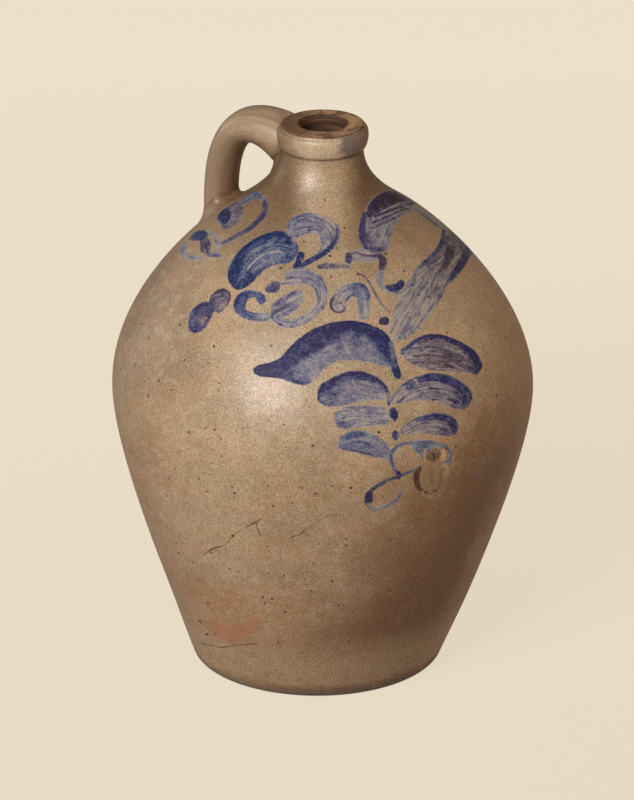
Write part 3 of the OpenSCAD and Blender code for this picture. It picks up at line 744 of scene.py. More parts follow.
upperInner = upperLine - wall["thick"] * upperOut
neckKey = (wall["neckR"] - wall["thick"] / 2, wall["neckZ"] + wall["key"])
upperOutline = ([keyPoint] + [tuple(p) for p in upperLine] + [neckKey] + [tuple(p) for p in upperInner[::-1][::5]]
                + [tuple(upperInner[0]), keyPoint])
upperBody = turnOnWheel("thrownUpperBody", upperOutline, wall["aroundSteps"])
finishPiece(upperBody, [stoneware, innerClay], ["upper_body"])
giveInside(upperBody, 5)
print("body thrown")

# rolled collar at the mouth, in mm
collar = {"height": 16, "widest": 30, "rimR": 28, "boreR": 15.5, "edge": 2.5, "boreEdge": 1.5, "steps": 16,
          "dish": 0.5}
rimZ = wall["neckZ"] + collar["height"]
meanR = (wall["neckR"] + collar["rimR"]) / 2
collarSide = []
for k in range(collar["steps"] + 1):
    t = k / collar["steps"]
    collarSide.append((wall["neckR"] + (collar["rimR"] - wall["neckR"]) * t
                       + (collar["widest"] - meanR) * max(math.sin(math.pi * t), 0) ** 0.38,
                       wall["neckZ"] + (collar["height"] - collar["edge"]) * t))
rimArc = arcPoints((collar["rimR"] - collar["edge"], rimZ - collar["edge"]), collar["edge"], 0, 90, 8)
boreArc = arcPoints((collar["boreR"] + collar["boreEdge"], rimZ - collar["boreEdge"]),
                    collar["boreEdge"], 90, 180, 6)
rimTop = [(22, rimZ - collar["dish"])]
collarOutline = ([(collar["boreR"], wall["neckZ"]), (wall["neckR"] - wall["thick"], wall["neckZ"]), neckKey]
                 + collarSide + rimArc[1:] + rimTop + boreArc + [(collar["boreR"], wall["neckZ"])])
mouthCollar = turnOnWheel("rolledMouthCollar", collarOutline, 144)
finishPiece(mouthCollar, [rubbedCollar, innerClay], ["mouth_collar"], 50)
for face in mouthCollar.data.polygons:
    if np.hypot(face.center[0] - 0.0002, face.center[1]) < 0.0158 and face.center[2] < (rimZ - 1) * mm:
        face.material_index = 1
print("collar rolled")

# pulled loop handle: middle line in the plane of X and Z, x counted away from the axis, in mm
handle = {"reach": 75, "bow": 5.5, "rise": 17.4, "startThick": 21.5, "endThick": 35,
          "startWide": 28, "endWide": 34, "root": 12, "rings": 44, "sides": 48, "sink": 4,
          "lowerSkirt": 6.5, "lowerClimb": 10, "upperSkirt": 4.5, "upperClimb": 16,
          "underRim": 2.2, "pressSlope": 1.1}
footZ = float(shoulderHeightAt(handle["reach"]))
handleCurve = [np.array(p, float) for p in (
    (handle["reach"], footZ - handle["root"]),
    (handle["reach"] + handle["bow"], wall["neckZ"] - handle["rise"] / 5),
    (handle["reach"] - handle["rise"] * 4 / 5, wall["neckZ"] + handle["rise"]),
    (26, wall["neckZ"]))]


def handleFrame(t):
    a, b, c, d = handleCurve
    spot = (1 - t) ** 3 * a + 3 * (1 - t) ** 2 * t * b + 3 * (1 - t) * t * t * c + t ** 3 * d
    way = (1 - t) ** 2 * (b - a) + 2 * (1 - t) * t * (c - b) + t * t * (d - c)
    way /= np.linalg.norm(way)
    return spot, np.array([way[1], -way[0]])


def handleRing(t, thickShare=1.0, wideShare=1.0, ahead=0.0):
    # one ring across the strap, in mm and in the jug's own axes
    spot, out = handleFrame(min(t, 1.0))
    swell = min(t, 1.0) ** 4
    halfThick = (handle["startThick"] + (handle["endThick"] - handle["startThick"]) * swell) / 2 * thickShare
    halfWide = (handle["startWide"] + (handle["endWide"] - handle["startWide"]) * swell) / 2 * wideShare
    ring = []
    for k in range(handle["sides"]):
        turn = 2 * math.pi * k / handle["sides"]
        # a strap pulled by hand: a little hollow along its inner side, fuller outside
        inner = 1 - 0.05 * max(-math.cos(turn), 0)
        x = spot[0] + out[0] * halfThick * math.cos(turn) * inner
        z = spot[1] + out[1] * halfThick * math.cos(turn) * inner
        if ahead:
            way = np.array([-out[1], out[0]])
            x += way[0] * ahead
            z += way[1] * ahead
        y = halfWide * math.sin(turn)
        # the strap's end is pressed against the collar's side and stays below the rim
        pastRim = max(math.hypot(x, y) - collar["rimR"] + 0.5, 0)
        ceiling = rimZ - handle["underRim"] + pastRim * handle["pressSlope"]
        ring.append((-x, y, min(z, ceiling)))
    return ring


def skinRings(name, rings, closeEnds=True):
    # a ring of edges, extruded once per ring and then fitted ring by ring
    deselectAll()
    bpy.ops.mesh.primitive_circle_add(vertices=len(rings[0]), radius=0.01)
    piece = bpy.context.object
    piece.name = name
    bpy.ops.object.mode_set(mode="EDIT")
    bpy.ops.mesh.select_all(action="SELECT")
    if closeEnds:
        bpy.ops.mesh.edge_face_add()
        bpy.ops.mesh.select_all(action="SELECT")
    for _ in rings[1:]:
        bpy.ops.mesh.extrude_region_move(TRANSFORM_OT_translate={"value": (0, 0, 0.001)})
    bpy.ops.object.mode_set(mode="OBJECT")
    heights = np.round(getPoints(piece)[:, 2] / 0.001).astype(int)
    angles = np.arctan2(getPoints(piece)[:, 1], getPoints(piece)[:, 0])
    points = getPoints(piece)
    drawn = np.zeros_like(points)
    turns = 2 * math.pi * np.arange(len(rings[0])) / len(rings[0])
    for level, ring in enumerate(rings):
        at = np.nonzero(heights == level)[0]
        order = at[np.argsort(np.mod(angles[at] + 1e-4, 2 * math.pi))]
        points[order] = np.array(ring) * mm
        drawn[order] = np.stack([np.cos(turns), np.sin(turns), np.full(len(turns), level / len(rings))], 1)
    setPoints(piece, points)
    field = piece.data.attributes.new("drawn", "FLOAT_VECTOR", "POINT")
    field.data.foreach_set("vector", drawn.astype(np.float32).ravel())
    return piece


firstRing = []
for x, y, z in handleRing(0.0):
    firstRing.append((x, y, float(shoulderHeightAt(np.hypot(x, y))) - handle["sink"]))
handleRings = [firstRing]
for k in range(1, handle["rings"] + 1):
    t = k / handle["rings"]
    ring = handleRing(t)
    if t < 0.3:
        # low rings stay above the shoulder on both sides, following its slope less and less
        share = 1 - t / 0.3
        ring = [(x, y, z + share ** 2 * (float(shoulderHeightAt(np.hypot(x, y))) - footZ))
                for x, y, z in ring]
    if min(z - float(shoulderHeightAt(np.hypot(x, y))) for x, y, z in ring) > 1 - handle["sink"] or t > 0.5:
        handleRings.append(ring)
handleRings.append(handleRing(1.0, 0.55, 0.7, 5.5))
pulledHandle = skinRings("pulledLoopHandle", handleRings)
finishPiece(pulledHandle, [pulledClay], ["handle"], 60)
print("handle pulled")


# clay smeared round both ends of the handle: a hollow fillet from the strap down to the wall
def outsideRadius(height):
    sideR = [p[0] for p in collarSide]
    sideZ = [p[1] for p in collarSide]
    return np.where(np.asarray(height) > wall["neckZ"], np.interp(height, sideZ, sideR), radiusAt(height))


def smearRound(name, rings, skirt, climb, shareAt, node, seed):
    # rings run outward from inside the wall; every column of them gets its own profile
    rings = np.array(rings)
    count = rings.shape[1]
    steps = 8
    levels = np.zeros((steps + 4, count, 3))
    random = np.random.default_rng(seed)
    phases = random.uniform(0, 2 * math.pi, 3)
    for k in range(count):
        path = rings[:, k]
        gap = np.hypot(path[:, 0], path[:, 1]) - outsideRadius(path[:, 2])
        crossing = np.nonzero((gap[:-1] <= 0) & (gap[1:] > 0))[0]
        j = crossing[0] if len(crossing) else 0
        share = 0.0 if gap[j + 1] == gap[j] else float(np.clip(-gap[j] / (gap[j + 1] - gap[j]), 0, 1))
        corner = path[j] + share * (path[j + 1] - path[j])
        middle = rings[j].mean(axis=0) * (1 - share) + rings[j + 1].mean(axis=0) * share
        turn = 2 * math.pi * k / count
        wobble = 1 + 0.14 * math.sin(turn * 2 + phases[0]) + 0.1 * math.sin(turn * 5 + phases[1])
        skirtShare, climbShare = shareAt(corner[2], turn)
        walked, i, top = 0.0, j + 1, corner
        while i < len(path) and walked < climb * climbShare * wobble:
            step = np.linalg.norm(path[i] - top)
            walked += step
            top = path[i]
            i += 1
        out = np.array([corner[0], corner[1], 0.0])
        out /= np.linalg.norm(out)
        slope = float(outsideRadius(corner[2] + 0.5) - outsideRadius(corner[2] - 0.5))
        out[2] = -slope
        out /= np.linalg.norm(out)
        away = corner - middle
        away -= away.dot(out) * out
        away /= np.linalg.norm(away)
        low = corner + away * (skirt * skirtShare * wobble + 0.2)
        sideways = low[:2] / np.linalg.norm(low[:2])
        low[:2] = sideways * float(outsideRadius(low[2]))
        for step in range(steps + 1):
            t = step / steps
            levels[step, k] = (1 - t) ** 2 * top + 2 * (1 - t) * t * (corner + 0.8 * out) + t * t * low
        levels[0, k] -= 0.5 * away
        levels[steps, k] -= 0.3 * out
        levels[steps + 1, k] = low - 1.6 * out - 0.5 * away
        levels[steps + 2, k] = corner - 2.4 * away - 1.5 * out
        levels[steps + 3, k] = levels[0, k]
    piece = skinRings(name, [[tuple(p) for p in level] for level in levels], closeEnds=False)
    return finishPiece(piece, [stoneware], [node], 60)


lowRings = [firstRing] + [handleRing(0.004 * k) for k in range(10, 130)]
smearRound("smearedLowerWad", lowRings, handle["lowerSkirt"], handle["lowerClimb"],
           lambda z, turn: (1.0, 1.0), "lower_handle_wad", 5)


def upperShares(height, turn):
    # nothing under the collar's edge; drawn further down the neck below the strap
    fade = float(smoothStep(356, 346, height))
    under = max(-math.cos(turn), 0) ** 2
    return fade * (1 + 1.9 * under), fade * (1 - 0.4 * under)


endRings = [handleRing(1.0, 0.55, 0.7, 5.5)]
lastRing = np.array(handleRing(1.0))
endRings += [tuple(map(tuple, np.array(endRings[0]) * (1 - k / 8) + lastRing * k / 8))
             for k in range(1, 8)]
endRings += [handleRing(1.0 - 0.004 * k) for k in range(120)]
smearRound("smearedUpperWad", endRings, handle["upperSkirt"], handle["upperClimb"],
           upperShares, "upper_handle_wad", 9)
print("handle ends smeared")

# brush strokes. Each has two edges, a and b, as points of the photograph in pixels, from the
# brush's touch-down to its lift. Tone runs from 0, dry and pale, to 1, pooled and dark, along
# the stroke; hue from -1, greenish, over 0, blue, to 1, purple; rimA and rimB are the width in
# pixels and the added tone of a pooled edge; bristle is how strongly the brush left lines
def stroke(a, b, tone, hue=(0.1,), bristle=0.25, speck=0.1, rimA=(0, 0), rimB=(0, 0), soft=2.4, ends=(1, 1)):
    return {"a": a, "b": b, "tone": tone, "hue": hue, "bristle": bristle, "speck": speck,
            "rimA": rimA, "rimB": rimB, "soft": soft, "ends": ends}


def line(points, widths, tone, hue=(0.1,), bristle=0.1, speck=0.05, soft=None):
    # a stroke along a middle line, its widths in pixels spread evenly over the points
    soft = soft or min(2.2, 0.45 * sum(widths) / len(widths))
    points = np.array(points, float)
    way = np.gradient(points, axis=0)
    way /= np.linalg.norm(way, axis=1)[:, None]
    half = np.interp(np.linspace(0, 1, len(points)), np.linspace(0, 1, len(widths)), widths) / 2
    side = np.stack([way[:, 1], -way[:, 0]], 1) * half[:, None]
    return stroke(points + side, points - side, tone, hue, bristle, speck, soft=soft)


def dot(x, y, size, tone, hue=(0.0,)):
    return line([(x - size * 0.55, y), (x, y), (x + size * 0.55, y)], (size * 0.9,), tone, hue)


cobaltStrokes = {
    "cobalt_top_loop": [
        stroke([(238, 202), (244, 197), (250, 193), (256, 191), (261, 193), (265, 198)],
               [(242, 207), (247, 203), (252, 200), (257, 199), (260, 200), (261, 203)],
               (0.5, 0.62, 0.62, 0.5), (-0.4,), 0.3),
        line([(262, 197), (265, 204), (265, 211), (261, 218), (254, 225), (246, 231), (237, 236), (228, 241), (219, 244)],
             (6, 6, 6.5, 6, 5, 5, 4.5, 4), (0.4, 0.65, 0.85, 0.85, 0.75, 0.6, 0.4), (0.2, 0.7, 0.6, 0.4), 0.15),
        stroke([(217, 216), (222, 209), (230, 204), (238, 201), (243, 203), (245, 208)],
               [(217, 222), (221, 228), (229, 230), (236, 226), (242, 219), (245, 212)],
               (0.65, 0.6, 0.5, 0.55), (0.1, 0.4, 0.8), 0.2),
        stroke([(218, 216), (221, 210), (226, 208), (230, 209), (232, 212)],
               [(219, 220), (222, 224), (227, 224), (231, 221), (232, 217)], (0.98, 1.0, 0.9), (0.1,), 0.05, soft=1.6),
        stroke([(234, 207), (238, 205), (242, 205), (244, 208)], [(235, 218), (238, 218), (242, 216), (244, 212)],
               (0.5, 0.66, 0.74), (0.8,), 0.15, soft=2.4)],
    "cobalt_small_ring": [
        line([(208, 232), (214, 235), (217, 243), (217, 250), (211, 256)], (5, 5, 5, 5), (0.2, 0.3, 0.35, 0.2), (0.7,), 0.2, soft=2),
        line([(186, 241), (184, 247), (184, 253), (188, 257), (196, 258), (204, 257)], (6, 7, 6, 6), (0.2, 0.45, 0.2, 0.15), (-0.5, -0.2, 0.3), 0.2, soft=2),
        line([(205, 254), (211, 255), (218, 255), (223, 256)], (4, 5, 4), (0.4, 0.6, 0.3), (0.4,), 0.1),
        stroke([(199, 239), (200, 245), (201, 251), (205, 255)], [(208, 237), (211, 243), (211, 250), (209, 255)],
               (0.6, 0.8, 0.75, 0.5), (0.7,), 0.2, soft=1.6),
        stroke([(188, 239), (192, 234), (198, 231), (204, 230), (209, 233)], [(190, 241), (196, 241), (202, 240), (207, 239), (209, 236)],
               (0.6, 0.85, 0.92, 0.8), (-0.3,), 0.1, soft=1.6)],
    "cobalt_bud": [
        stroke([(207, 299), (211, 293), (218, 289), (226, 288), (231, 292), (231, 300)],
               [(212, 314), (217, 314), (222, 312), (226, 308), (229, 304), (231, 301)],
               (0.62, 0.58, 0.55, 0.5), (0.8,), 0.3, 0.15, rimA=(7, 0.28)),
        line([(223, 292), (227, 297), (228, 303), (224, 308)], (3, 3, 2), (0.6, 0.75, 0.5), (0.9,)),
        stroke([(187, 330), (188, 321), (191, 312), (197, 305), (204, 301), (210, 301)],
               [(196, 335), (203, 331), (208, 324), (212, 317), (215, 310), (214, 304)],
               (0.9, 0.75, 0.85, 0.92, 0.85), (0.1, 0.3, 0.1), 0.15, 0.15, rimA=(4, 0.1)),
        stroke([(196, 322), (199, 317), (204, 314)], [(203, 328), (207, 323), (210, 317)], (0.42, 0.45), (1.0,), 0.2, soft=6)],
    "cobalt_high_petal": [
        stroke([(284, 233), (288, 224), (294, 218), (302, 214), (312, 212.5), (322, 214), (331, 219), (337, 226),
                (339, 234), (338, 242), (333, 250), (325, 256.5), (315, 262), (306, 266), (299, 269)],
               [(297, 241), (302, 236), (308, 234), (314, 234), (318, 236), (321, 240), (321, 246), (318, 251), (313, 256), (307, 260), (302, 264)],
               (0.35, 0.42, 0.36, 0.28, 0.25, 0.3, 0.45, 0.8), (0.0, 0.2, 0.3, 0.3, 0.1), 0.55, 0.05, rimB=(2, 0.15)),
        line([(336, 223), (338, 231), (336, 240), (330, 248), (321, 255), (311, 260.5), (302, 265), (296, 268)], (3, 4.5, 5, 5.5, 5.5, 5, 4),
             (0.6, 0.85, 0.9, 0.9, 0.95), (0.1,), 0.1),
        line([(287, 229), (291, 222), (298, 217), (308, 214), (318, 215)], (3, 3, 2.5), (0.6, 0.65, 0.4), (0.0,)),
        line([(292, 226), (301, 222), (311, 221), (321, 225), (326, 232), (326, 240)], (2.2, 2, 2), (0.6, 0.6, 0.35), (-0.1,)),
        line([(293, 231), (302, 228), (312, 228), (318, 231)], (2.4, 2.2, 2), (0.6, 0.6, 0.4), (-0.1,)),
        line([(318, 231), (323, 238), (323, 247), (317, 254)], (2, 2, 2), (0.45, 0.5, 0.4), (0.2,))],
    "cobalt_dark_petal": [
        stroke([(230, 289), (227, 280), (228, 270), (232, 261), (239, 251), (248, 243), (258, 237), (268, 233), (278, 230.5),
                (286, 232), (293, 236), (298, 241)],
               [(245, 291), (250, 286), (255, 280), (260, 274), (266, 269), (273, 266), (280, 264), (286, 264), (292, 264), (297, 261), (300, 254)],
               (1.0, 0.92, 0.62, 0.54, 0.6, 0.8, 0.9), (-0.3,), 0.4, 0.35, rimA=(12, 0.5), rimB=(3.5, 0.3)),
        line([(248, 269), (256, 260), (266, 254), (278, 252), (286, 255)], (2.5, 3, 2.5), (0.15, 0.25, 0.3), (0.1,), 0.3),
        line([(252, 273), (260, 265), (270, 259), (281, 258)], (2, 2.5, 2), (0.2, 0.3, 0.35), (0.1,), 0.3),
        line([(291, 238), (295, 244), (296, 251)], (4, 4, 3), (0.45, 0.5, 0.6), (0.0,), 0.2),
        line([(301, 251), (300.5, 257), (298, 263), (294, 269)], (7, 8, 6, 3), (0.95, 1.0, 0.95), (0.0,), 0.1),
        # a pale dot on the dark dab: a painted highlight
        dot(301, 259, 2.4, (0.3,))],
    "cobalt_low_petal": [
        stroke([(283, 274), (290, 270), (300, 268), (310, 269), (319, 274), (325, 282), (328, 292), (327, 301), (322, 311),
                (313, 319), (303, 325), (290, 328), (279, 326), (272, 320), (270, 312)],
               [(287, 288), (295, 285), (303, 284), (310, 286), (315, 292), (316, 299), (313, 306), (306, 313), (298, 317), (288, 319), (280, 317), (276, 312)],
               (0.4, 0.36, 0.36, 0.42, 0.26, 0.22, 0.28, 0.36, 0.55), (0.3, 0.2, 0.1, 0.2, 0.1), 0.5, 0.0, rimA=(2, 0.15)),
        line([(300, 279), (308, 278), (315, 282), (320, 290), (320, 300), (315, 309), (306, 316), (294, 321)], (1.8, 1.8, 1.8), (0.5, 0.4, 0.4, 0.5), (0.3,)),
        line([(301, 273), (310, 273), (318, 278), (324, 288)], (2, 3, 3), (0.4, 0.6, 0.4), (0.0,)),
        stroke([(268, 307), (276, 300), (286, 294), (296, 290), (303, 289)], [(274, 320), (284, 317), (294, 312), (301, 305), (304, 297)],
               (0.5, 0.45, 0.4, 0.3), (0.4,), 0.5, 0.0),
        line([(270, 308), (281, 302), (292, 296), (302, 292)], (2, 2, 1.6), (0.75, 0.7, 0.5), (0.3,)),
        line([(272, 313), (284, 307), (295, 301), (303, 296)], (2, 2, 1.6), (0.75, 0.7, 0.5), (0.3,)),
        line([(276, 317), (287, 312), (297, 306), (304, 300)], (2, 2, 1.6), (0.7, 0.65, 0.5), (0.3,)),
        stroke([(264, 288), (270, 283), (277, 280), (281, 281)], [(266, 293), (273, 293), (279, 292), (281, 287)], (0.6, 0.75, 0.65), (0.4,), 0.1, soft=1.6),
        line([(281, 284), (291, 281), (302, 281)], (4, 4, 3), (0.35, 0.3, 0.2), (0.3,), 0.3, soft=1.6)],
    "cobalt_curl": [
        stroke([(266, 296), (262, 293), (256, 291), (248, 290), (240, 293), (235, 299), (233, 306), (236, 313), (243, 318), (252, 321), (262, 322), (271, 321)],
               [(262, 299), (258, 298), (253, 298), (249, 299), (247, 302), (246, 306), (247, 310), (252, 312), (260, 313), (266, 313), (271, 311)],
               (0.62, 0.68, 0.85, 0.9, 0.8, 0.65, 0.55, 0.45, 0.5), (-0.15,), 0.25, 0.2),
        stroke([(255, 297), (259, 294), (264, 295), (267, 299)], [(257, 303), (260, 305), (264, 304), (267, 301)], (0.7, 0.85, 0.75), (-0.1,), 0.05, soft=1.6)],
    "cobalt_tendrils": [
        stroke([(317, 265), (325, 263), (336, 263), (346, 264), (352, 266)], [(317, 269), (326, 270), (336, 269), (346, 269), (352, 268)],
               (0.75, 0.6, 0.5, 0.3), (0.7,), 0.2, 0.1),
        stroke([(350, 252), (358, 248), (367, 248), (374, 251), (380, 255)], [(352, 264), (361, 263), (369, 262), (375, 262), (380, 261)],
               (0.25, 0.22, 0.25, 0.4), (0.4,), 0.2, soft=2),
        line([(350, 254), (356, 253), (364, 255), (372, 256), (379, 256)], (2.2, 2, 2.4, 3), (0.8, 0.7, 0.75, 0.8), (0.8,)),
        stroke([(344, 257), (346, 253), (350, 252), (353, 255)], [(345, 262), (348, 265), (351, 264), (353, 260)], (0.8, 0.85, 0.75), (0.4,), 0.1),
        stroke([(379, 271), (376, 278), (378, 286), (386, 292), (397, 295), (405, 293)], [(385, 271), (384, 277), (384, 283), (389, 286), (397, 288), (404, 287)],
               (0.3, 0.25, 0.3, 0.4, 0.35), (0.1, -0.4), 0.3, soft=2),
        stroke([(375, 255), (381, 253), (386, 258), (387, 264), (385, 271)], [(377, 258), (379, 260), (379, 264), (379, 268), (379, 272)],
               (0.6, 0.85, 0.9, 0.55), (0.9,), 0.1),
        stroke([(384, 284), (390, 285), (396, 283), (400, 280), (405, 281)], [(386, 289), (391, 292), (397, 292), (402, 289), (405, 285)],
               (0.85, 0.97, 0.97, 0.9), (0.2,), 0.05, soft=1.4),
        line([(357, 273), (364, 276), (369, 282), (374, 291), (379, 300), (384, 307), (391, 313)], (2, 2.6, 2.2, 2.4, 2), (0.35, 0.6, 0.55, 0.5, 0.25), (0.8,)),
        stroke([(330, 309), (331, 300), (335, 292), (343, 286), (352, 283), (361, 284), (367, 289), (370, 297), (370, 306), (370, 320)],
               [(345, 311), (347, 304), (350, 299), (353, 297), (356, 297), (357, 300), (358, 305), (358, 311), (359, 321)],
               (0.3, 0.3, 0.35, 0.5, 0.5, 0.25, 0.1), (0.4, -0.1, -0.4), 0.3, soft=1.8),
        line([(346, 286), (355, 284), (363, 286), (368, 293), (368, 301)], (3, 4, 4.5, 4), (0.45, 0.65, 0.75, 0.5), (-0.2,), soft=1.5),
        line([(346, 306), (343, 311), (337, 312), (332, 309), (331, 303), (334, 297), (338, 293)], (2.6, 2.8, 3, 2.6), (0.5, 0.7, 0.8, 0.8, 0.5), (0.8,)),
        dot(384, 321, 10, (0.95,), (0.5,))],
    "cobalt_ribbon": [
        stroke([(396, 187), (404, 192), (414, 198), (432, 211), (450, 226), (465, 240), (477, 252)],
               [(400, 203), (410, 206), (421, 213), (431, 221), (438, 227), (443, 233), (447, 242)],
               (0.16, 0.16, 0.2, 0.26, 0.6), (-0.7, -0.5, 0.1), 0.25, 0.05, rimB=(3.5, 0.3)),
        stroke([(472, 246), (471, 256), (465, 267), (457, 275), (450, 281), (445, 292), (438, 304), (430, 316), (420, 328), (408, 339), (400, 343)],
               [(444, 230), (441, 243), (434, 254), (424, 264), (413, 275), (405, 287), (397, 302), (392, 317), (390, 330), (391, 342)],
               (0.6, 0.66, 0.55, 0.4, 0.33, 0.28, 0.24, 0.2, 0.12), (0.4, 0.8, 0.7, 0.5), 0.5, 0.1),
        line([(444, 229), (443, 239), (439, 248), (433, 255), (426, 261), (419, 267), (412, 273)], (4, 5, 5, 5, 3.5, 2.5), (0.7, 0.85, 0.85, 0.7, 0.4), (0.1,), 0.15),
        line([(468, 247), (464, 259), (458, 269), (452, 277), (448, 283)], (8, 8, 7, 5), (0.6, 0.85, 0.92, 0.7), (0.1,), 0.2),
        line([(452, 245), (449, 256), (444, 267), (437, 277)], (9, 9, 8, 5), (0.75, 0.85, 0.7, 0.5), (0.9,), 0.35),
        line([(448, 281), (442, 291), (435, 302), (427, 314), (417, 327), (407, 337)], (2.4, 2.4, 2.2, 2), (0.7, 0.55, 0.5, 0.35), (0.2,)),
        line([(437, 272), (432, 284), (425, 297), (418, 311)], (2.6, 2.4, 2), (0.7, 0.6, 0.3), (0.1,)),
        line([(430, 266), (424, 278), (417, 291), (411, 303)], (2.4, 2.2, 2), (0.5, 0.45, 0.25), (0.2,)),
        line([(419, 269), (411, 281), (404, 292)], (2.4, 2.2), (0.45, 0.3), (-0.2,)),
        line([(411, 316), (407, 328), (402, 338)], (2.4, 2.4), (0.4, 0.5), (-0.5,)),
        stroke([(361, 246), (360, 234), (363, 219), (367, 206), (374, 197), (383, 191), (394, 191), (405, 196)],
               [(367, 251), (378, 252), (388, 248), (390, 239), (393, 229), (399, 220), (407, 213), (416, 204)],
               (0.6, 0.35, 0.3, 0.3, 0.4, 0.5, 0.5), (0.5, 0.0, 0.3, 0.7), 0.35, 0.1, soft=1.6),
        stroke([(366, 216), (368, 206), (375, 197), (384, 192), (394, 191.5), (404, 197)],
               [(371, 219), (378, 213), (386, 209), (393, 205), (400, 202), (408, 201)], (0.8, 0.95, 0.97, 0.95, 0.8), (0.9,), 0.2, 0.05, soft=1.6),
        line([(365, 212), (363, 222), (362, 231), (364, 240), (369, 246)], (6, 6, 7, 8, 7), (0.75, 0.85, 0.95, 0.95, 0.75), (0.5,), 0.1),
        line([(369, 248), (376, 250), (384, 249), (389, 246)], (7, 6, 6), (0.75, 0.75, 0.5), (0.6,), 0.2),
        line([(374, 217), (384, 213), (394, 209), (404, 206), (414, 203)], (3, 2.6, 2.6, 3), (0.9, 0.8, 0.75, 0.8), (0.9,)),
        line([(372, 223), (382, 219), (391, 215), (400, 211), (409, 208)], (2.6, 2.2, 2), (0.85, 0.8, 0.6), (0.9,)),
        line([(371, 229), (379, 225), (388, 221), (397, 217), (403, 213)], (2.6, 2.2, 2.4), (0.7, 0.7, 0.75), (0.8,)),
        line([(403, 205), (413, 209), (422, 214), (431, 221), (439, 227)], (3, 3, 3), (0.4, 0.48, 0.52), (0.0,))],
    "cobalt_big_leaf": [
        stroke([(252, 369), (258, 365), (266, 363.5), (276, 361), (283, 355), (290, 347), (300, 338), (310, 331), (322, 325),
                (336, 321.5), (350, 320.5), (362, 322), (374, 326), (384, 331), (391, 338), (395, 349)],
               [(254, 374), (262, 377), (274, 378), (284, 380), (294, 384), (304, 385.5), (311, 383), (318, 376), (326, 368),
                (336, 362), (350, 360), (362, 361), (374, 364), (384, 368), (393, 372)],
               (0.95, 0.95, 0.68, 0.5, 0.42, 0.4, 0.42, 0.46, 0.52), (0.2, 0.2, 0.3, 0.3, 0.1, -0.2), 0.1, 0.2, rimA=(19, 0.72), soft=1.8),
        line([(256, 370), (264, 369), (273, 368), (282, 364)], (5, 9, 12, 12), (1.0, 1.05, 1.05, 0.95), (0.2,), 0.05, 0.6),
        line([(284, 378), (294, 381), (304, 383), (310, 382)], (3, 4, 4, 3), (0.75, 0.9, 0.9, 0.65), (0.2,), 0.1, 0.7),
        stroke([(283, 356), (291, 347), (301, 338), (311, 331), (322, 326)], [(293, 366), (301, 360), (311, 354), (322, 350), (332, 346)],
               (0.97, 1.0, 0.97, 0.92), (0.2,), 0.1, 0.8, soft=3),
        line([(390, 341), (393, 352), (394, 362), (394, 372)], (6, 6, 5), (0.55, 0.6, 0.5), (-0.3,), 0.3, soft=2)],
    "cobalt_left_leaves": [
        stroke([(316, 397), (317, 389), (322, 383), (330, 378.5), (340, 374), (350, 371), (361, 371), (371, 374), (380, 379), (387, 386), (390, 392)],
               [(319, 405), (326, 407.5), (336, 407), (348, 405), (362, 402), (376, 401), (390, 399)],
               (0.58, 0.54, 0.46, 0.4, 0.38, 0.32), (0.3, 0.3, 0.2), 0.3, 0.1, rimA=(9, 0.64)),
        line([(332, 405), (345, 402), (360, 398), (374, 397)], (2.4, 2.4, 2), (0.6, 0.55, 0.3), (0.0,)),
        stroke([(333, 414), (338, 409), (350, 406), (364, 405), (378, 406), (390, 408)], [(334, 424), (341, 428.5), (352, 428), (364, 427), (378, 426), (392, 424)],
               (0.34, 0.28, 0.25, 0.2), (0.2,), 0.4, 0.05, soft=1.8),
        line([(334, 414), (342, 411), (352, 412)], (2.2, 2), (0.55, 0.4), (0.2,)),
        line([(356, 409), (367, 407), (378, 410)], (2, 2), (0.5, 0.6, 0.4), (0.3,)),
        line([(362, 415), (373, 413), (383, 416)], (2, 2), (0.45, 0.6, 0.4), (0.5,)),
        stroke([(335, 422), (342, 421), (350, 422), (355, 425)], [(337, 428), (343, 429), (350, 428), (355, 427)], (0.7, 0.8, 0.5), (0.2,), 0.2, 0.3),
        stroke([(337, 447), (338, 440), (343, 434), (352, 430.5), (362, 430), (373, 433), (382, 438), (391, 445)],
               [(340, 450), (350, 451.5), (362, 453), (374, 456), (384, 460), (391, 465)], (0.62, 0.58, 0.48, 0.38, 0.32), (-0.1, 0.1, 0.3), 0.35, 0.2),
        stroke([(342, 437), (350, 432), (360, 431), (369, 434)], [(346, 441), (353, 438), (361, 437), (369, 438)], (0.7, 0.85, 0.6), (-0.3,), 0.1, 0.1, soft=2),
        line([(341, 449), (352, 450), (365, 453), (378, 457)], (3, 3.5, 3.5), (0.6, 0.65, 0.5), (0.5,))],
    "cobalt_right_leaves": [
        stroke([(399, 352), (406, 347), (414, 341), (424, 336), (436, 334.5), (448, 336.5), (460, 342), (470, 350), (477, 358), (481, 367)],
               [(403, 358), (412, 364), (424, 369), (436, 371), (448, 371), (458, 372), (468, 374), (477, 375), (480, 372)],
               (0.35, 0.42, 0.45, 0.5, 0.6, 0.88), (0.3, 0.9, 0.9, 0.6), 0.55, 0.1, rimA=(4, 0.35)),
        line([(400, 351), (408, 347), (417, 340), (428, 336.5), (441, 337), (454, 341.5), (465, 348), (474, 356), (478, 366), (474, 374)],
             (3, 4, 4, 4.5, 5, 6, 8, 9, 6), (0.7, 0.85, 0.95, 0.95, 1.0, 1.0, 0.9), (0.1, 0.2), 0.1),
        line([(416, 348), (430, 347), (446, 350), (460, 356)], (2.4, 2.4, 2.4), (0.7, 0.7, 0.7), (0.3,)),
        line([(413, 356), (428, 355), (444, 357), (458, 361)], (2.4, 2.4, 2.4), (0.6, 0.65, 0.7), (0.9,)),
        line([(415, 363), (430, 362), (446, 362), (463, 361)], (2.6, 2.6, 2.4), (0.6, 0.75, 0.8), (1.0,)),
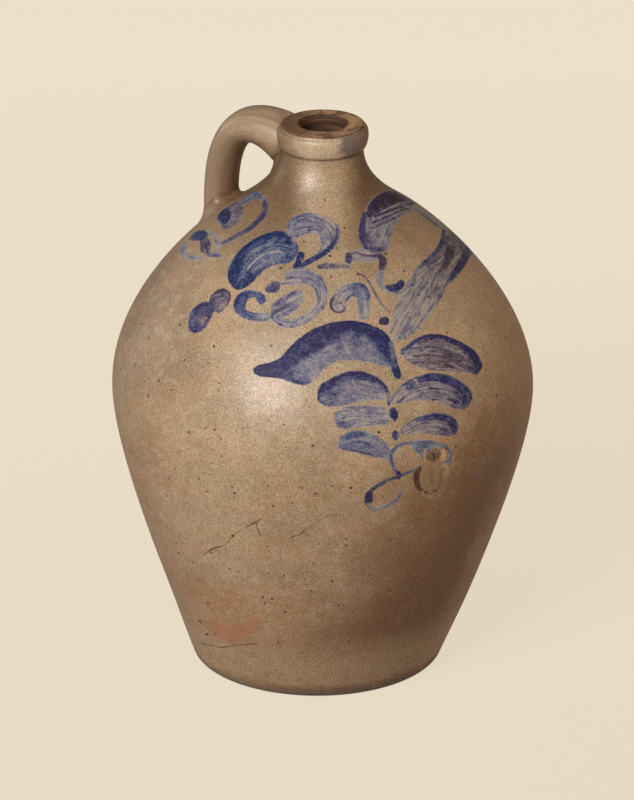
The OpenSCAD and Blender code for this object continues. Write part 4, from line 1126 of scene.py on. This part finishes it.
        stroke([(389, 402), (392, 395), (398, 388), (404, 383), (411, 378.5), (420, 375), (432, 372.5), (446, 374), (458, 379), (467, 386), (472.5, 394), (471, 403), (465, 409)],
               [(397, 405), (406, 403), (418, 401), (430, 401), (440, 403), (450, 407), (458, 410), (464, 411)],
               (0.28, 0.34, 0.38, 0.42, 0.5, 0.7, 0.75), (0.5, 0.6, 0.4), 0.55, 0.1, rimA=(3, 0.2)),
        stroke([(416, 377), (428, 374), (442, 374), (455, 379), (466, 386), (472, 394), (471, 402), (465, 408)],
               [(418, 384), (430, 382), (442, 383), (452, 387), (459, 392), (463, 398), (462, 403), (460, 407)],
               (0.75, 0.92, 0.95, 0.95, 0.95, 0.8), (0.0, 0.2), 0.15, 0.1, soft=1.5),
        stroke([(404, 387), (407, 382), (412, 379), (416, 381)], [(406, 391), (410, 391), (414, 388), (416, 385)], (0.65, 0.75, 0.6), (-0.1,), 0.1, soft=1.6),
        line([(418, 394), (434, 392), (450, 395)], (2.2, 2.2, 2), (0.6, 0.6, 0.6), (0.2,)),
        line([(391, 399), (389, 405)], (2.4, 2.4), (0.6, 0.6), (0.1,)),
        stroke([(398, 432), (404, 425), (413, 419), (424, 414.5), (436, 412.5), (447, 414), (455, 419), (459, 426), (457, 433)],
               [(402, 436), (414, 434), (426, 434), (436, 435), (444, 436), (452, 436), (456, 435)],
               (0.2, 0.26, 0.36, 0.48, 0.7), (0.5, 0.6, 0.5), 0.5, 0.1, rimA=(3, 0.2)),
        stroke([(414, 419), (425, 415), (437, 413.5), (448, 415.5), (456, 421), (458, 429), (455, 434)],
               [(416, 423), (427, 421), (437, 420), (445, 422), (449, 426), (450, 431), (450, 434)],
               (0.6, 0.85, 0.88, 0.9, 0.92, 0.8), (-0.1, 0.2), 0.15, 0.1, soft=1.5),
        line([(408, 431), (420, 428), (432, 427)], (2, 2), (0.4, 0.5, 0.3), (0.8,))],
    "cobalt_stem_drops": [
        stroke([(392, 356), (391, 363), (392, 371), (395, 378), (399, 380)], [(397, 356), (398, 362), (400, 368), (402, 374), (401, 378)],
               (0.7, 0.85, 1.0, 1.0), (-0.3,), 0.1, 0.05),
        line([(390, 392), (388, 398), (389, 406)], (2.4, 3, 3), (0.5, 0.65, 0.7), (0.0,)),
        stroke([(388, 412), (390, 408), (395, 407), (398, 411)], [(390, 418), (393, 421), (397, 421), (399, 416)], (0.9, 1.0, 0.95), (0.2,), 0.05),
        stroke([(391, 434), (393, 431), (397, 430), (399, 433)], [(392, 438), (394, 441), (397, 441), (399, 437)], (0.7, 0.85, 0.75), (0.1,), 0.1, soft=1.4),
        stroke([(395, 473), (398, 470.5), (402, 473)], [(396, 476), (399, 479), (402, 477)], (0.9, 0.95), (0.7,), 0.05)],
    "cobalt_outline_leaf": [
        stroke([(408, 444), (418, 442), (430, 443), (440, 447)], [(413, 451), (422, 456), (431, 455), (439, 451)],
               (0.2, 0.4, 0.45, 0.3), (-0.7,), 0.3, 0.0, soft=4),
        line([(398, 475), (394, 468), (391, 460), (392, 452), (398, 446), (408, 443), (420, 442)], (3, 4.5, 4.5, 4, 4), (0.8, 0.6, 0.6, 0.5, 0.45), (0.3, -0.1, -0.3)),
        line([(414, 442.5), (426, 442), (438, 444), (447, 448), (451, 455), (448, 461), (443, 462)], (4, 4, 4, 4, 3.5), (0.5, 0.6, 0.5, 0.55, 0.4), (-0.4,)),
        line([(425, 443), (424, 451), (421, 459)], (9, 8, 5), (0.65, 0.6, 0.35), (-0.5,), 0.2, soft=1.6),
        line([(398, 476), (406, 473), (414, 470), (421, 465)], (4, 3.6, 3, 2.5), (0.75, 0.6, 0.45), (0.0,))],
    "cobalt_tail_loop": [
        line([(400, 477), (391, 479), (382, 483), (374, 488), (368, 494), (366, 500)], (4, 4, 4.5, 4.5, 5), (0.85, 0.75, 0.75, 0.85, 0.9), (0.6, 0.4)),
        line([(366, 498), (367, 505), (373, 509), (382, 508), (391, 504), (398, 498), (401, 491)], (5, 4, 4, 4, 5, 5), (0.7, 0.5, 0.35, 0.3, 0.4, 0.55), (0.3,), 0.2),
        stroke([(365, 500), (366, 494), (370, 491), (373, 493)], [(367, 503), (370, 504), (373, 501), (374, 497)], (0.9, 0.95, 0.85), (0.5,), 0.05)]}

# marks of the kiln, drawn in the same way: tone is how strongly the mark covers, hue its kind,
# from 0, dark iron brown, over 0.3, brown, and 0.6, bare grey clay, to 1, pink bare clay
crackLines = ((1.0, [(202, 556), (212, 549), (225, 545)]), (1.0, [(225, 545), (231, 538), (237, 533), (244, 528)]),
              (0.9, [(244, 528), (252, 524), (262, 518)]), (0.75, [(256, 521), (258, 530), (262, 537)]),
              (0.65, [(287, 540), (294, 536), (300, 534), (309, 527), (318, 521)]), (0.5, [(323, 517), (331, 515), (341, 513)]),
              (0.55, [(395, 545), (404, 542), (412, 542), (424, 539)]),
              (0.75, [(198, 642), (211, 645), (222, 647), (235, 645), (250, 644), (263, 642)]))
ironSpecks = ((325, 200, 2.6), (294, 208, 2.2), (345, 228, 2.2), (337, 248, 2), (358, 274, 3), (341, 303, 4), (200, 621, 3), (207, 634, 2.6),
              (332, 486, 2.6), (383, 497, 2.2), (306, 400, 2.2), (292, 503, 2.2), (323, 474, 1.8), (344, 473, 1.8), (304, 432, 1.6))
kilnStrokes = {
    "firingCracks": [line(points, (0.8, 2.1, 1.1, 2.3, 1.0, 1.8, 0.8),
                          [depth * tone for tone in (0.45, 1.0, 0.55, 1.0, 0.6, 1.0, 0.4)], (0.1,), 0, 0, soft=0.6)
                     for depth, points in crackLines],
    "ironSpecks": [dot(x, y, size, (0.95,)) for x, y, size in ironSpecks],
    "bareKissMark": [
        stroke([(202, 617), (212, 619), (222, 623), (233, 624), (244, 621), (255, 613)],
               [(207, 630), (216, 637), (226, 642), (238, 640), (250, 634), (264, 621)], (0.25, 0.46, 0.5, 0.48, 0.36), (1.0,), 0, 0, soft=4)],
    "burstPebbleScar": [
        # the scar's relief is painted: pale rims on its right and below are painted highlight
        line([(445, 463), (447, 471), (446, 480)], (4, 6, 4), (0.45, 0.5, 0.3), (0.8,), 0, 0, soft=2.5),
        line([(421, 492), (427, 497), (435, 498), (442, 493)], (2.4, 2.4), (0.3,), (0.8,), 0, 0),
        stroke([(427, 462), (423, 469), (420, 478), (421, 487), (428, 493)],
               [(440, 460), (441, 468), (439.5, 479), (437, 488), (433, 494)], (0.6, 0.7, 0.7, 0.6), (0.5,), 0, 0, soft=1.8),
        line([(442, 466), (440, 474), (440, 482), (436, 490), (429, 494.5)], (1.4, 2.2, 1.4, 2.2), (0.5, 0.2, 0.5, 0.25, 0.5), (0.2,), 0, 0),
        stroke([(441, 449), (441, 455), (440, 462)], [(446, 450), (447, 456), (445, 462)], (0.9, 0.95, 0.8), (0.8,), 0, 0, soft=1.2),
        stroke([(427, 451), (425.5, 457), (428, 463)], [(438, 446), (441, 453), (439, 461)], (0.6, 0.7, 0.65), (0.26,), 0, 0, soft=1.8),
        line([(426, 448), (424, 455), (425, 462)], (2, 2), (0.4,), (0.8,), 0, 0),
        # painted shadow: the dark arc inside the scar's left edge
        line([(421, 466), (417, 472), (415.8, 479), (417.5, 486), (422, 491)], (3, 6, 6.6, 5.4, 3), (0.9, 1.0, 1.0, 0.9), (0.08,), 0, 0, soft=1.4),
        dot(425.5, 492, 3.4, (0.9,)), dot(434.5, 491, 3.6, (0.8,)), dot(443, 469, 2.4, (0.6,)),
        line([(431, 452), (434, 456), (433, 461)], (2, 2.4, 2), (0.9,), (0.0,), 0, 0),
        line([(429, 465), (432, 471), (430, 478), (433, 485)], (3, 4, 3), (0.3,), (0.3,), 0, 0, soft=2)]}

# the wall unrolled: u is the azimuth times the belly's radius, v the length along the wall, both in mm
slip = {"stepDegrees": 0.24, "stepArc": 0.52, "fromAzimuth": -185, "toAzimuth": 75, "fromZ": 14, "toZ": 338,
        "thick": 0.5, "dive": 0.06, "lift": 0.08, "samples": 90, "edgeNoise": 0.22, "keepAbove": 0.03}
around = np.arange(slip["fromAzimuth"], slip["toAzimuth"], slip["stepDegrees"])
upward = np.arange(arcAtHeight(slip["fromZ"]), arcAtHeight(slip["toZ"]), slip["stepArc"])
gridU, gridV = np.meshgrid(np.radians(around) * wall["bellyR"], upward)
rowR, rowZ, rowOutR, rowOutZ = wallAt(upward)


def evenRun(points, count):
    # a smooth curve through the points (Catmull-Rom), cut into even lengths
    points = np.asarray(points, float)
    ends = np.vstack([2 * points[0] - points[1], points, 2 * points[-1] - points[-2]])
    t = np.linspace(0, 1, 12, endpoint=False)[:, None]
    run = []
    for a, b, c, d in zip(ends[:-3], ends[1:-2], ends[2:-1], ends[3:]):
        run.append(0.5 * (2 * b + (c - a) * t + (2 * a - 5 * b + 4 * c - d) * t ** 2
                          + (3 * b - a - 3 * c + d) * t ** 3))
    run = np.vstack(run + [points[-1:]])
    length = np.concatenate([[0], np.cumsum(np.linalg.norm(np.diff(run, axis=0), axis=1))])
    at = np.linspace(0, length[-1], count)
    return np.stack([np.interp(at, length, run[:, 0]), np.interp(at, length, run[:, 1])], 1)


def onWall(points):
    places = [fromPhoto(x, y) for x, y in points]
    return np.array([(math.radians(azimuth) * wall["bellyR"], arc) for azimuth, arc in places])


def valueAlong(values, share):
    if len(values) == 1:
        return np.full_like(share, values[0])
    return np.interp(share, np.linspace(0, 1, len(values)), values)


def cloud(u, v, size, seed):
    # soft value noise, -1 to 1, on the unrolled wall
    random = np.random.default_rng(seed)
    table = random.uniform(-1, 1, (64, 64))
    x, y = u / size, v / size
    i, j = np.floor(x).astype(int), np.floor(y).astype(int)
    fx, fy = smoothStep(0, 1, x - i), smoothStep(0, 1, y - j)
    near = table[i % 64, j % 64] * (1 - fx) + table[(i + 1) % 64, j % 64] * fx
    far = table[i % 64, (j + 1) % 64] * (1 - fx) + table[(i + 1) % 64, (j + 1) % 64] * fx
    return near * (1 - fy) + far * fy


def brushOn(layer, mark, patchNumber, seed):
    pixel = 1 / 1.503                                # mm on the wall for one pixel, seen square on
    a, b = onWall(evenRun(mark["a"], 24)), onWall(evenRun(mark["b"], 24))
    a, b = evenRun(a, slip["samples"]), evenRun(b, slip["samples"])
    low = np.minimum(a.min(0), b.min(0)) - 3
    high = np.maximum(a.max(0), b.max(0)) + 3
    columns = slice(*np.searchsorted(gridU[0], (low[0], high[0])))
    rows = slice(*np.searchsorted(upward, (low[1], high[1])))
    u, v = gridU[rows, columns].ravel(), gridV[rows, columns].ravel()
    if not len(u):
        return
    across = b - a
    crossing = (across[:, 0][None] * (v[:, None] - a[:, 1][None])
                - across[:, 1][None] * (u[:, None] - a[:, 0][None]))
    narrow = np.interp((a[:, 1] + b[:, 1]) / 2, upward, rowR) / wall["bellyR"]
    width = np.hypot(across[:, 0] * narrow, across[:, 1])
    middle = (a + b) / 2
    stepLength = np.hypot(np.diff(middle[:, 0]) * narrow[:-1], np.diff(middle[:, 1]))
    along = np.concatenate([[0], np.cumsum(stepLength)])
    change = crossing[:, :-1] * crossing[:, 1:] <= 0
    fall = crossing[:, :-1] - crossing[:, 1:]
    share = np.clip(crossing[:, :-1] / np.where(np.abs(fall) < 1e-9, 1e-9, fall), 0, 1)
    best = np.full(len(u), 9.0)
    bestT, bestS = np.zeros(len(u)), np.zeros(len(u))
    for i in range(slip["samples"] - 1):
        hit = np.nonzero(change[:, i])[0]
        if not len(hit):
            continue
        part = share[hit, i][:, None]
        start = a[i] * (1 - part) + a[i + 1] * part
        over = across[i] * (1 - part) + across[i + 1] * part
        s = (u[hit] - start[:, 0]) * over[:, 0] + (v[hit] - start[:, 1]) * over[:, 1]
        s /= np.maximum((over ** 2).sum(1), 1e-9)
        off = np.abs(s - 0.5)
        better = off < best[hit]
        chosen = hit[better]
        best[chosen] = off[better]
        bestT[chosen] = i + part[better, 0]
        bestS[chosen] = s[better]
    found = best < 1.5
    t = bestT / (slip["samples"] - 1)
    wide = np.interp(bestT, np.arange(slip["samples"]), width)
    far = np.interp(bestT, np.arange(slip["samples"]), along)
    edge = wide * (0.5 - best)
    for fromEnd, roundness in ((far, mark["ends"][0]), (along[-1] - far, mark["ends"][1])):
        reach = np.maximum(np.minimum(wide / 2, along[-1] / 2) * roundness, 1e-3)
        past = np.clip((reach - fromEnd) / reach, 0, 1)
        edge = np.minimum(edge, wide / 2 * (1 - np.hypot(past, best * 2)))
    soft = mark["soft"] * pixel
    rough = slip["edgeNoise"] * (cloud(u, v, 1.6, seed) + 0.7 * cloud(u, v, 4.5, seed + 1))
    mask = np.where(found, smoothStep(-soft * 0.6, soft * 0.9, edge + rough * min(soft, 1)), 0)
    tone = valueAlong(mark["tone"], t)
    fromA, fromB = bestS * wide, (1 - bestS) * wide
    for distance, (reach, added) in ((fromA, mark["rimA"]), (fromB, mark["rimB"])):
        if reach:
            band = reach * pixel * (1 + 0.3 * cloud(u, v, 5, seed + 2))
            tone = tone + added * (1 - smoothStep(band * 0.2, band * 1.45, distance))
    tone = tone + 0.1 * cloud(u, v, 6, seed + 3)
    over = mask / np.maximum(mask + layer["ink"][rows, columns].ravel() * (1 - mask), 1e-6)
    paints = (("tone", tone), ("hue", valueAlong(mark["hue"], t)), ("bristle", np.full_like(t, mark["bristle"])),
              ("speck", np.full_like(t, mark["speck"])), ("brushX", far),
              ("brushY", (bestS - 0.5) * np.maximum(wide, 2) + seed * 3.7))
    shape = gridU[rows, columns].shape
    for name, value in paints:
        field = layer[name][rows, columns]
        weight = over if not name.startswith("brush") else (over > 0.5).astype(float)
        field[:] = field * (1 - weight.reshape(shape)) + value.reshape(shape) * weight.reshape(shape)
    ink = layer["ink"][rows, columns]
    ink[:] = mask.reshape(shape) + ink * (1 - mask.reshape(shape))
    own = layer["own"][patchNumber][rows, columns]
    own[:] = np.maximum(own, mask.reshape(shape))


def newLayer(patchCount):
    layer = {name: np.zeros_like(gridU) for name in ("ink", "tone", "hue", "bristle", "speck", "brushX", "brushY")}
    layer["own"] = np.zeros((patchCount,) + gridU.shape, np.float32)
    return layer


def paintLayer(strokeSets, seed):
    layer = newLayer(len(strokeSets))
    for number, marks in enumerate(strokeSets.values()):
        for mark in marks:
            brushOn(layer, mark, number, seed)
            seed += 1
    return layer


def skinOfSlip(layer, number, name, material, nodes, dive, lift):
    # a grid laid on the wall, cut down to the faces that this patch owns, 0.5 mm thick inwards
    owner = np.argmax(layer["own"], axis=0)
    inked = layer["ink"] > slip["keepAbove"]
    cornerInk = inked[:-1, :-1] | inked[1:, :-1] | inked[:-1, 1:] | inked[1:, 1:]
    keep = cornerInk & (owner[:-1, :-1] == number) & (layer["own"].max(axis=0)[:-1, :-1] > 0.005)
    rowsKept, columnsKept = np.nonzero(keep)
    r0, r1, c0, c1 = rowsKept.min(), rowsKept.max() + 1, columnsKept.min(), columnsKept.max() + 1
    deselectAll()
    bpy.ops.mesh.primitive_grid_add(x_subdivisions=int(c1 - c0), y_subdivisions=int(r1 - r0), size=1)
    piece = bpy.context.object
    piece.name = name
    window = (slice(r0, r1 + 1), slice(c0, c1 + 1))
    ink = layer["ink"][window]
    raised = -dive + (dive + 0.3 * lift) * smoothStep(0.0, 0.16, ink) + 0.7 * lift * ink
    azimuths = np.radians(around[c0:c1 + 1])[None]
    out = rowR[r0:r1 + 1][:, None] + raised * rowOutR[r0:r1 + 1][:, None]
    height = rowZ[r0:r1 + 1][:, None] + raised * rowOutZ[r0:r1 + 1][:, None]
    points = np.stack([out * np.cos(azimuths), out * np.sin(azimuths), height], -1).reshape(-1, 3)
    setPoints(piece, points * mm)
    for attribute, source in (("ink", "ink"), ("tone", "tone"), ("hue", "hue"),
                              ("streak", "bristle"), ("speck", "speck")):
        field = piece.data.attributes.new(attribute, "FLOAT", "POINT")
        field.data.foreach_set("value", layer[source][window].astype(np.float32).ravel())
    field = piece.data.attributes.new("brush", "FLOAT_VECTOR", "POINT")
    vectors = np.stack([layer["brushX"][window], layer["brushY"][window], np.zeros_like(ink)], -1)
    field.data.foreach_set("vector", vectors.astype(np.float32).ravel())
    makeActive(piece)
    bpy.ops.object.mode_set(mode="EDIT")
    bpy.ops.mesh.select_mode(type="FACE")
    bpy.ops.mesh.select_all(action="DESELECT")
    bpy.ops.object.mode_set(mode="OBJECT")
    piece.data.polygons.foreach_set("select", (~keep[r0:r1, c0:c1]).ravel())
    bpy.ops.object.mode_set(mode="EDIT")
    bpy.ops.mesh.delete(type="FACE")
    bpy.ops.mesh.select_mode(type="VERT")
    bpy.ops.object.mode_set(mode="OBJECT")
    return finishPiece(piece, [material], nodes, 50, slip["thick"] * mm)


cobaltLayer = paintLayer(cobaltStrokes, 11)
for number, node in enumerate(cobaltStrokes):
    words = node.split("_")
    name = "brushed" + "".join(word.capitalize() for word in words)
    skinOfSlip(cobaltLayer, number, name, slipMaterial, [node], slip["dive"], slip["lift"])
print("cobalt brushed")

kilnLayer = paintLayer(kilnStrokes, 211)
for number, name in enumerate(kilnStrokes):
    skinOfSlip(kilnLayer, number, name, kilnMarks, [], 0.0, 0.16)
print("kiln marks laid on")

# the coil inside the belly seam stays as the construction model has it
waistCoil = bpy.data.objects.get("waist_coil")
if waistCoil:
    waistCoil.data.materials.clear()
    waistCoil.data.materials.append(innerClay)

bpy.data.objects.remove(leanCage)
